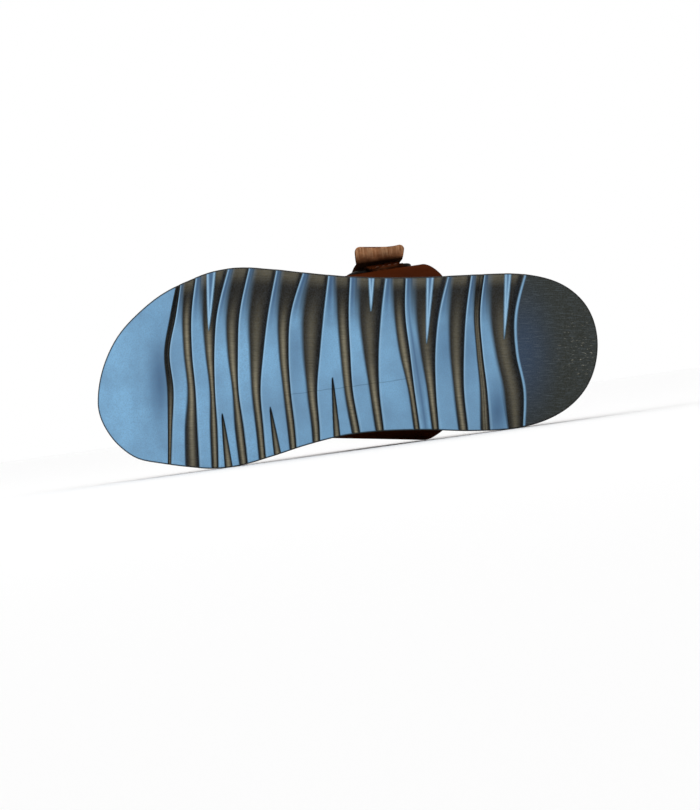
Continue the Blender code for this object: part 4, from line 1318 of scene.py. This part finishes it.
# The prong's turn in degrees, its straight part, and the rounding of its tip and its root
PRONG_TURN_DEGREES = range(-160, 91, 10)
PRONG_STRAIGHT_FROM = 0.6
PRONG_ROWS = 16
PRONG_TIP_SHARES = (0.0, 0.62, 0.88)
PRONG_TIP_LENGTH = 0.30
PRONG_ROOT_LENGTH = 0.25


def make_prong():
    """The prong: most of a turn around the lower bar, then straight over the upper bar to a blunt tip."""
    places = []
    for degrees in PRONG_TURN_DEGREES:
        turn = math.radians(degrees)
        way = FRAME_HALF + PRONG_TURN * math.cos(turn)
        places.append((way, FRAME_OUT + PRONG_TURN * math.sin(turn)))
    for way in evenly(FRAME_HALF * PRONG_STRAIGHT_FROM, -FRAME_HALF - PRONG_OVERHANG, PRONG_ROWS):
        places.append((way, PRONG_OUT))
    points = [tuple(beside_buckle(way, 0.0, out)) for way, out in places]
    radii = [PRONG_BAR / 2] * len(points)
    for back, share in enumerate(PRONG_TIP_SHARES):
        radii[-1 - back] *= share
    radii[0] = 0.0
    points[-2] = tuple(Vector(points[-1]).lerp(Vector(points[-3]), PRONG_TIP_LENGTH))
    points[1] = tuple(Vector(points[0]).lerp(Vector(points[1]), PRONG_ROOT_LENGTH))
    shell = Shell("edge")
    shell.add(bar_rows(points, radii, PRONG_SIDES, (1.0, 0.0, 0.0)), ring=True)
    return shell.piece("buckle_prong_bar", sharp=0)


# One stitch: rows along it, how it bulges, rises from and sinks into the leather, and thins at its ends
THREAD_ROWS = 6
THREAD_FULLNESS = 0.6
THREAD_RISE = 0.55
THREAD_SUNK = 0.35
THREAD_END = 0.08
THREAD_THINNEST = 0.15


def thread_bead(shell, start, end, width, rise):
    """One stitch: a short rounded thread that dips into the leather at both ends."""
    start, end, rise = Vector(start), Vector(end), Vector(rise)
    points, radii = [], []
    for share in evenly(0.0, 1.0, THREAD_ROWS):
        lift = math.sin(math.pi * share) ** THREAD_FULLNESS
        points.append(tuple(start.lerp(end, share) + rise * width * (THREAD_RISE * lift - THREAD_SUNK)))
        swell = math.sin(math.pi * (THREAD_END + (1 - 2 * THREAD_END) * share)) ** 0.5
        radii.append(width / 2 * max(THREAD_THINNEST, swell))
    shell.add(bar_rows(points, radii, THREAD_SIDES, rise), ring=True)


STITCH_LENGTH = 0.0026
STITCH_GAP = 0.0007
THREAD_WIDTH = 0.0008
SEAM_INSET = 0.0026
SEAM_RUN = 0.024
CHAPE_SEAM_INSET = 0.0022
THREAD_SIDES = 8


def sew_line(shell, route, out):
    """Stitches along a route of (way, ahead) places beside the buckle, on a surface this far out."""
    points = [beside_buckle(way, ahead, out) for way, ahead in route]
    ways = [0.0]
    for a, b in zip(points, points[1:]):
        ways.append(ways[-1] + (b - a).length)
    count = max(1, round(ways[-1] / (STITCH_LENGTH + STITCH_GAP)))
    pitch = ways[-1] / count
    columns = np.array([tuple(point) for point in points])
    for i in range(count):
        ends = []
        for at in (i * pitch + STITCH_GAP / 2, (i + 1) * pitch - STITCH_GAP / 2):
            ends.append([np.interp(at, ways, columns[:, axis]) for axis in range(3)])
        middle = int(np.argmin([abs(way - (i + 0.5) * pitch) for way in ways]))
        way, ahead = route[middle]
        outward = (beside_buckle(way, ahead, out + 0.001) - beside_buckle(way, ahead, out)).normalized()
        thread_bead(shell, ends[0], ends[1], THREAD_WIDTH, outward)


def make_stitches():
    """The stitches that hold the strap's end to the band, and the one row across the folded chape."""
    shell = Shell()
    half = STRAP_WIDTH / 2 - SEAM_INSET
    start = -STRAP_RUN + SEAM_INSET
    corner = STRAP_TIP_RADIUS - SEAM_INSET
    end = start + SEAM_RUN
    round_end = []
    for degrees in range(0, 91, 6):
        turn = math.radians(degrees)
        round_end.append((start + corner * (1 - math.sin(turn)), -(half - corner + corner * math.cos(turn))))
    left = [(way, -half) for way in evenly(end, start + corner, 14)]
    route = left + round_end
    straight = evenly(-(half - corner), half - corner, 10)[1:]
    route += [(start, ahead) for ahead in straight]
    route += [(way, -ahead) for way, ahead in reversed(round_end)][1:]
    route += [(way, half) for way in evenly(start + corner, end, 14)[1:]]
    route += [(end, ahead) for ahead in evenly(half, -half, 16)[1:]]
    sew_line(shell, route, GAP + STRAP_THICKNESS)
    over = GAP + CHAPE_THICKNESS + GAP + CHAPE_THICKNESS
    chape_row = FRAME_HALF + (CHAPE_SETTLE + CHAPE_FOLD) / 2
    half = CHAPE_WIDTH / 2 - CHAPE_SEAM_INSET
    sew_line(shell, [(chape_row, ahead) for ahead in evenly(-half, half, 12)], over)
    return shell.piece("strap_stitches", sharp=0)


# Materials


def linear(colour):
    """A colour of 0 to 255 as the shader's own red, green, blue and alpha."""
    parts = [part / 255 for part in colour]
    return (*(p / 12.92 if p <= 0.04045 else ((p + 0.055) / 1.055) ** 2.4 for p in parts), 1.0)


class Finish:
    """A material's nodes, with short ways to place and join them."""

    def __init__(self, name, tree=None):
        if tree is None:
            self.material = bpy.data.materials.new(name)
            self.material.use_nodes = True
            tree = self.material.node_tree
        self.tree = tree

    def node(self, kind, **settings):
        made = self.tree.nodes.new(kind)
        for key, value in settings.items():
            setattr(made, key, value)
        return made

    def feed(self, socket, value):
        if hasattr(value, "is_output"):
            self.tree.links.new(value, socket)
        else:
            socket.default_value = value
        return socket

    def mask(self, name):
        return self.node("ShaderNodeAttribute", attribute_name=name).outputs["Fac"]

    def sum(self, operation, *values, clamp=False):
        made = self.node("ShaderNodeMath", operation=operation, use_clamp=clamp)
        for socket, value in zip(made.inputs, values):
            self.feed(socket, value)
        return made.outputs[0]

    def mix(self, share, first, second):
        """A blend of two colours."""
        made = self.node("ShaderNodeMix", data_type="RGBA")
        self.feed(made.inputs["Factor"], share)
        self.feed(made.inputs["A"], linear(first) if isinstance(first, tuple) else first)
        self.feed(made.inputs["B"], linear(second) if isinstance(second, tuple) else second)
        return made.outputs["Result"]

    def ramp(self, value, low, high, to_low=0.0, to_high=1.0):
        """A value moved from one range to another, held at its ends."""
        made = self.node("ShaderNodeMapRange", clamp=True)
        for socket, given in zip(made.inputs, (value, low, high, to_low, to_high)):
            self.feed(socket, given)
        return made.outputs[0]

    def places(self, *names):
        """The shoe's own coordinates, painted on the piece, as a vector."""
        made = self.node("ShaderNodeCombineXYZ")
        for socket, name in zip(made.inputs, names):
            self.feed(socket, self.mask(name))
        return made.outputs[0]

    def noise(self, scale, detail=3.0, rough=0.55, stretch=None, where=None):
        """Cloudy noise in the piece's own coordinates or those given, drawn out where stretch is below 1."""
        where = where or self.node("ShaderNodeTexCoord").outputs["Object"]
        if stretch:
            mapping = self.node("ShaderNodeMapping")
            self.feed(mapping.inputs["Vector"], where)
            mapping.inputs["Scale"].default_value = stretch
            where = mapping.outputs[0]
        made = self.node("ShaderNodeTexNoise")
        self.feed(made.inputs["Vector"], where)
        made.inputs["Scale"].default_value = scale
        made.inputs["Detail"].default_value = detail
        made.inputs["Roughness"].default_value = rough
        return made.outputs["Fac"]

    def group(self, tree, **values):
        """A placed effect, with this material's own values on its sockets."""
        made = self.node("ShaderNodeGroup", node_tree=tree)
        for name, value in values.items():
            self.feed(made.inputs[name], value)
        return made

    def bump(self, height, distance, strength=1.0):
        made = self.node("ShaderNodeBump")
        self.feed(made.inputs["Height"], height)
        made.inputs["Distance"].default_value = distance
        made.inputs["Strength"].default_value = strength
        return made.outputs[0]

    def shader(self, colour, roughness, normal=None, **constant):
        principled = self.tree.nodes["Principled BSDF"]
        self.feed(principled.inputs["Base Color"], colour)
        self.feed(principled.inputs["Roughness"], roughness)
        if normal is not None:
            self.feed(principled.inputs["Normal"], normal)
        for name, value in constant.items():
            principled.inputs[name.replace("_", " ")].default_value = value
        return self.material


def new_effect(name, inputs, outputs):
    """An empty shader node group with named sockets, and its first and last node."""
    tree = bpy.data.node_groups.new(name, "ShaderNodeTree")
    for label, kind, value in inputs:
        socket = tree.interface.new_socket(name=label, in_out="INPUT", socket_type=kind)
        socket.default_value = value
    for label, kind in outputs:
        tree.interface.new_socket(name=label, in_out="OUTPUT", socket_type=kind)
    work = Finish(name, tree)
    return work, work.node("NodeGroupInput"), work.node("NodeGroupOutput")


def grain_effect():
    """Pebbled leather grain with pores, as a height."""
    inputs = (("Scale", "NodeSocketFloat", 900.0), ("Pores", "NodeSocketFloat", 0.5))
    work, given, result = new_effect("leather_grain", inputs, (("Height", "NodeSocketFloat"),))
    where = work.node("ShaderNodeTexCoord").outputs["Object"]
    cells = work.node("ShaderNodeTexVoronoi", feature="SMOOTH_F1")
    work.feed(cells.inputs["Vector"], where)
    work.feed(cells.inputs["Scale"], given.outputs["Scale"])
    fine = work.node("ShaderNodeTexNoise")
    work.feed(fine.inputs["Vector"], where)
    work.feed(fine.inputs["Scale"], work.sum("MULTIPLY", given.outputs["Scale"], 2.3))
    pores = work.ramp(fine.outputs["Fac"], 0.30, 0.46, 0.0, 1.0)
    held = work.sum("MULTIPLY", work.sum("SUBTRACT", pores, 1.0), given.outputs["Pores"])
    height = work.sum("ADD", work.sum("MULTIPLY", cells.outputs["Distance"], -1.0), held)
    work.feed(result.inputs["Height"], height)
    return work.tree


def nap_effect():
    """Brushed nap of suede: short fibres as a height, and cloudy marks where a hand has stroked it."""
    inputs = (("Scale", "NodeSocketFloat", 1400.0), ("Stroke", "NodeSocketFloat", 60.0))
    outputs = (("Height", "NodeSocketFloat"), ("Cloud", "NodeSocketFloat"))
    work, given, result = new_effect("brushed_nap", inputs, outputs)
    where = work.node("ShaderNodeTexCoord").outputs["Object"]
    fibres = work.node("ShaderNodeTexNoise")
    work.feed(fibres.inputs["Vector"], where)
    work.feed(fibres.inputs["Scale"], given.outputs["Scale"])
    fibres.inputs["Detail"].default_value = 4.0
    fibres.inputs["Roughness"].default_value = 0.7
    cloud = work.node("ShaderNodeTexNoise")
    work.feed(cloud.inputs["Vector"], where)
    work.feed(cloud.inputs["Scale"], given.outputs["Stroke"])
    cloud.inputs["Detail"].default_value = 3.0
    work.feed(result.inputs["Height"], fibres.outputs["Fac"])
    work.feed(result.inputs["Cloud"], work.ramp(cloud.outputs["Fac"], 0.35, 0.65))
    return work.tree


grain = grain_effect()
nap = nap_effect()

# Oiled leather mirrors little by itself, and a thin wax coat gives it its soft gloss
LEATHER_GLOSS = {"Specular_IOR_Level": 0.0, "Coat_Weight": 0.006, "Coat_Roughness": 0.38}


# The fine bent line of painted shadow that crosses four bars: its ends and slope, in metres, its waver and
# half width
FOLD_START = 0.098
FOLD_END = 0.170
FOLD_ACROSS = -0.0138
FOLD_SLOPE = -0.134
FOLD_WAVER = 0.0016
FOLD_HALF = 0.00032
FOLD_FADE = 0.006


def fold_shadow(work):
    """1 on the thin bent line of painted shadow where the sole has folded in walking."""
    ahead, beside = work.mask("ahead"), work.mask("beside")
    run = work.sum("MULTIPLY", work.sum("SUBTRACT", ahead, FOLD_START), FOLD_SLOPE)
    waver = work.sum("MULTIPLY", work.sum("SUBTRACT", work.noise(90.0, 3.0), 0.5), FOLD_WAVER)
    centre = work.sum("ADD", work.sum("ADD", run, FOLD_ACROSS), waver)
    away = work.sum("ABSOLUTE", work.sum("SUBTRACT", beside, centre))
    inside = work.ramp(away, 0.0, FOLD_HALF, 1.0, 0.0)
    first = work.ramp(ahead, FOLD_START, FOLD_START + FOLD_FADE)
    last = work.ramp(ahead, FOLD_END - FOLD_FADE, FOLD_END, 1.0, 0.0)
    return work.sum("MULTIPLY", inside, work.sum("MULTIPLY", first, last))


def tread_rubber():
    """Satin rubber: blue lands with painted highlights on their rims and painted shade in their cores,
    black-brown grooves with painted shadow lines and a painted tan sheen, and a dark heel.
    """
    work = Finish("tread_rubber")
    speck = work.noise(1500.0, 2.0)
    cloud = work.noise(45.0, 4.0)
    brush = work.noise(1700.0, 3.0, stretch=(0.10, 1.0, 1.0), where=work.places(*TREAD_PLACES))
    blue = work.mix(work.ramp(cloud, 0.40, 0.68, 0.0, 0.60), PALE_BLUE, GREY_BLUE)
    blue = work.mix(work.ramp(speck, 0.42, 0.64, 0.0, 0.42), blue, GREY_BLUE)
    blue = work.mix(work.ramp(work.mask("dusk"), 0.0, 0.7), blue, GREY_BLUE)
    land = work.mix(work.ramp(work.mask("dusk"), 0.6, 0.95), blue, NIGHT_BLUE)
    over_heel = work.ramp(work.mask("dusk"), 0.6, 0.95)
    strokes = work.sum("MULTIPLY", work.ramp(brush, 0.50, 0.72, 0.0, 0.30), over_heel)
    land = work.mix(work.mask("night"), land, HEEL_BLACK)
    land = work.mix(strokes, land, BRUSH_GREY)
    # painted shade in the cores of the lands
    land = work.mix(work.sum("MULTIPLY", work.mask("core"), 0.85), land, SHADED_BLUE)
    # painted highlight on the rims
    land = work.mix(work.sum("MULTIPLY", work.mask("rim"), 0.8, clamp=True), land, RIM_HIGHLIGHT_BLUE)
    # painted sheen in the grooves
    sheen = work.sum("MULTIPLY", work.mask("sheen"), work.ramp(brush, 0.30, 0.72, 0.55, 1.0))
    groove = work.mix(sheen, GROOVE_BROWN, GROOVE_SHEEN_TAN)
    colour = work.mix(work.mask("land"), groove, land)
    # painted shadow lines, and the black of the sole's upright sides
    colour = work.mix(work.mask("line"), colour, SHADOW_AND_WALL_BLACK)
    # painted shadow along the fold
    colour = work.mix(work.sum("MULTIPLY", fold_shadow(work), 0.45), colour, SHADOW_AND_WALL_BLACK)
    shoe_places = work.places(*TREAD_PLACES)
    scratches = work.noise(900.0, 5.0, 0.7, stretch=(0.45, 1.0, 1.0), where=shoe_places)
    scuff = work.sum("MULTIPLY", work.ramp(scratches, 0.585, 0.68), work.mask("wear"))
    colour = work.mix(scuff, colour, SCUFF_GREY)
    colour = work.mix(work.ramp(speck, 0.35, 0.70, 0.0, 0.06), colour, SPECK_GREY)
    height = work.sum("ADD", work.sum("MULTIPLY", speck, 0.5), work.sum("MULTIPLY", brush, 0.35))
    normal = work.bump(height, 0.00012, 0.6)
    rough = work.ramp(cloud, 0.3, 0.7, 0.42, 0.56)
    return work.shader(colour, rough, normal, Specular_IOR_Level=0.08)


def band_leather():
    """Smooth oiled leather with a pebbled grain, painted shade low down near its roots, nap inside and
    burnished edges.
    """
    work = Finish("band_leather")
    cloud = work.noise(38.0, 4.0)
    colour = work.mix(work.ramp(cloud, 0.35, 0.7), BAND_BROWN, BAND_WARM)
    # painted shade low down on the band, near the roots where it meets the sole
    colour = work.mix(work.sum("MULTIPLY", work.mask("low"), 0.35), colour, EDGE_AND_SHADE_BROWN)
    inside = work.ramp(work.mask("flesh"), 0.6, 0.9)
    stroked = work.group(nap, Scale=1500.0, Stroke=70.0)
    colour = work.mix(inside, colour, work.mix(stroked.outputs["Cloud"], NAP_DARK, NAP_BROWN))
    colour = work.mix(work.mask("cut"), colour, EDGE_AND_SHADE_BROWN)
    pebbled = work.group(grain, Scale=850.0, Pores=0.6)
    fibres = work.sum("MULTIPLY", stroked.outputs["Height"], inside)
    height = work.sum("ADD", pebbled.outputs["Height"], fibres)
    rough = work.ramp(cloud, 0.3, 0.7, 0.46, 0.60)
    rough = work.sum("MAXIMUM", rough, work.sum("MULTIPLY", inside, 0.92))
    return work.shader(colour, rough, work.bump(height, 0.00016, 0.5), **LEATHER_GLOSS)


def strap_leather():
    """The strap's leather: grain outside, brushed nap inside with painted sheen streaks and painted shade at
    the tail's base, and a tan cut edge along its tail.
    """
    work = Finish("strap_leather")
    cloud = work.noise(60.0, 4.0)
    colour = work.mix(work.ramp(cloud, 0.35, 0.7), BAND_BROWN, STRAP_WARM)
    inside = work.ramp(work.mask("flesh"), 0.6, 0.9)
    stroked = work.group(nap, Scale=1700.0, Stroke=120.0)
    suede = work.mix(stroked.outputs["Cloud"], TAIL_NAP_DARK, TAIL_NAP)
    # painted sheen streaks along the tail's brushed nap
    sheen_streaks = work.ramp(work.noise(900.0, 2.0, stretch=(1.0, 0.08, 0.08)), 0.40, 0.66, 0.0, 0.50)
    sheen_streaks = work.sum("MULTIPLY", sheen_streaks, work.ramp(work.mask("tail"), 0.45, 0.75))
    suede = work.mix(sheen_streaks, suede, TAIL_SHEEN_STREAK)
    suede = work.mix(work.ramp(work.mask("tail"), 0.25, 0.55, 0.92, 0.0), suede, TAIL_SHADE)
    colour = work.mix(inside, colour, suede)
    tan = work.sum("MULTIPLY", work.mask("cut"), work.ramp(work.mask("tail"), 0.80, 0.97, 0.0, 0.8))
    colour = work.mix(work.mask("cut"), colour, EDGE_AND_SHADE_BROWN)
    colour = work.mix(tan, colour, CUT_TAN)
    pebbled = work.group(grain, Scale=1000.0, Pores=0.5)
    fibres = work.sum("MULTIPLY", stroked.outputs["Height"], work.sum("MULTIPLY", inside, 1.6))
    height = work.sum("ADD", pebbled.outputs["Height"], fibres)
    rough = work.sum("MAXIMUM", work.ramp(cloud, 0.3, 0.7, 0.44, 0.58), work.sum("MULTIPLY", inside, 0.92))
    return work.shader(colour, rough, work.bump(height, 0.00018, 0.5), **LEATHER_GLOSS)


def footbed_suede():
    """Brushed brown footbed, darker and smoother where the foot has pressed it, with a waxed edge."""
    work = Finish("footbed_suede")
    stroked = work.group(nap, Scale=1300.0, Stroke=48.0)
    colour = work.mix(stroked.outputs["Cloud"], FOOTBED_CLOUD, FOOTBED_BROWN)
    pressed = work.ramp(work.mask("print"), 0.15, 1.0, 0.0, 0.75)
    colour = work.mix(pressed, colour, FOOTBED_DARK)
    colour = work.mix(work.sum("MULTIPLY", work.mask("edge"), 0.8), colour, EDGE_AND_SHADE_BROWN)
    rough = work.sum("SUBTRACT", 0.92, work.sum("MULTIPLY", work.mask("print"), 0.22))
    normal = work.bump(stroked.outputs["Height"], 0.0002, 0.5)
    return work.shader(colour, rough, normal, Specular_IOR_Level=0.25)


def dark_metal():
    """Blackened metal, a little brighter where its edges are worn."""
    work = Finish("dark_metal")
    patchy = work.noise(900.0, 4.0)
    worn = work.sum("MULTIPLY", work.mask("edge"), work.ramp(patchy, 0.45, 0.62, 0.0, 0.5))
    colour = work.mix(worn, METAL_BLACK, METAL_WORN)
    rough = work.ramp(patchy, 0.3, 0.7, 0.30, 0.44)
    return work.shader(colour, rough, work.bump(patchy, 0.00004, 0.4), Metallic=0.85)


def waxed_thread():
    """Brown waxed thread with its twist."""
    work = Finish("waxed_thread")
    twist = work.noise(2400.0, 1.0)
    colour = work.mix(twist, THREAD_BROWN, THREAD_LIGHT)
    return work.shader(colour, 0.6, work.bump(twist, 0.0001, 0.5))


# Floor, light and camera


def make_floor():
    mesh = bpy.data.meshes.new("pale_floor")
    shape = bmesh.new()
    bmesh.ops.create_circle(shape, cap_ends=True, radius=FLOOR_RADIUS, segments=64)
    shape.to_mesh(mesh)
    shape.free()
    floor = bpy.data.objects.new("pale_floor", mesh)
    bpy.context.scene.collection.objects.link(floor)
    work = Finish("pale_floor")
    mesh.materials.append(work.shader(linear(FLOOR_WHITE), 0.9, Specular_IOR_Level=0.1))


def add_softbox(name, place, target, size, power):
    lamp = bpy.data.lights.new(name, "AREA")
    lamp.shape = "RECTANGLE"
    lamp.size, lamp.size_y = size
    lamp.energy = power
    made = bpy.data.objects.new(name, lamp)
    made.location = place
    made.rotation_euler = (Vector(target) - Vector(place)).to_track_quat("-Z", "Y").to_euler()
    bpy.context.scene.collection.objects.link(made)


def light_studio():
    world = bpy.data.worlds.new("soft_studio")
    world.use_nodes = True
    surroundings = world.node_tree.nodes["Background"]
    surroundings.inputs["Color"].default_value = (1.0, 1.0, 1.0, 1.0)
    surroundings.inputs["Strength"].default_value = STUDIO_STRENGTH
    bpy.context.scene.world = world
    add_softbox("toe_side_box", (-1.20, -0.80, 0.70), (0.0, 0.0, 0.05), (0.9, 0.9), KEY_POWER)
    bpy.context.scene.view_settings.view_transform = "Standard"
    bpy.context.scene.view_settings.look = "None"


def place_camera():
    """A long lens that looks square at the tread, rolled as far as the shoe is."""
    data = bpy.data.cameras.new("photo_view")
    data.sensor_fit = "HORIZONTAL"
    data.sensor_width = SENSOR
    data.lens = SENSOR * VIEW_DISTANCE / VIEW_WIDTH
    data.clip_end = 50.0
    camera = bpy.data.objects.new("photo_view", data)
    ahead = laid_down.col[0].to_3d()
    outward = laid_down.col[1].to_3d()
    up = laid_down.col[2].to_3d()
    turned = Matrix((-ahead, outward, -up)).transposed().to_4x4()
    aim = laid_down @ Vector((VIEW_ALONG, VIEW_ACROSS, -VIEW_DISTANCE))
    camera.matrix_world = Matrix.Translation(aim) @ turned
    bpy.context.scene.collection.objects.link(camera)
    bpy.context.scene.camera = camera


def dress(piece, material, slot, *nodes):
    piece.data.materials.clear()
    piece.data.materials.append(material)
    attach(piece, "root")
    if nodes:
        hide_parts(*nodes)


place_camera()
light_studio()
make_floor()

dress(make_outsole(), tread_rubber(), "sole_rubber", "outsole")
dress(make_footbed(), footbed_suede(), "footbed_leather", "insole")
dress(make_band(), band_leather(), "band_leather", "upper_band")
strap_finish = strap_leather()
dress(make_strap(), strap_finish, "strap_leather", "buckle_strap")
dress(make_chape(), strap_finish, "strap_leather", "buckle_chape")
metal_finish = dark_metal()
dress(make_frame(), metal_finish, "dark_metal", "buckle_frame")
dress(make_prong(), metal_finish, "dark_metal", "buckle_prong")
dress(make_stitches(), waxed_thread(), "strap_leather")
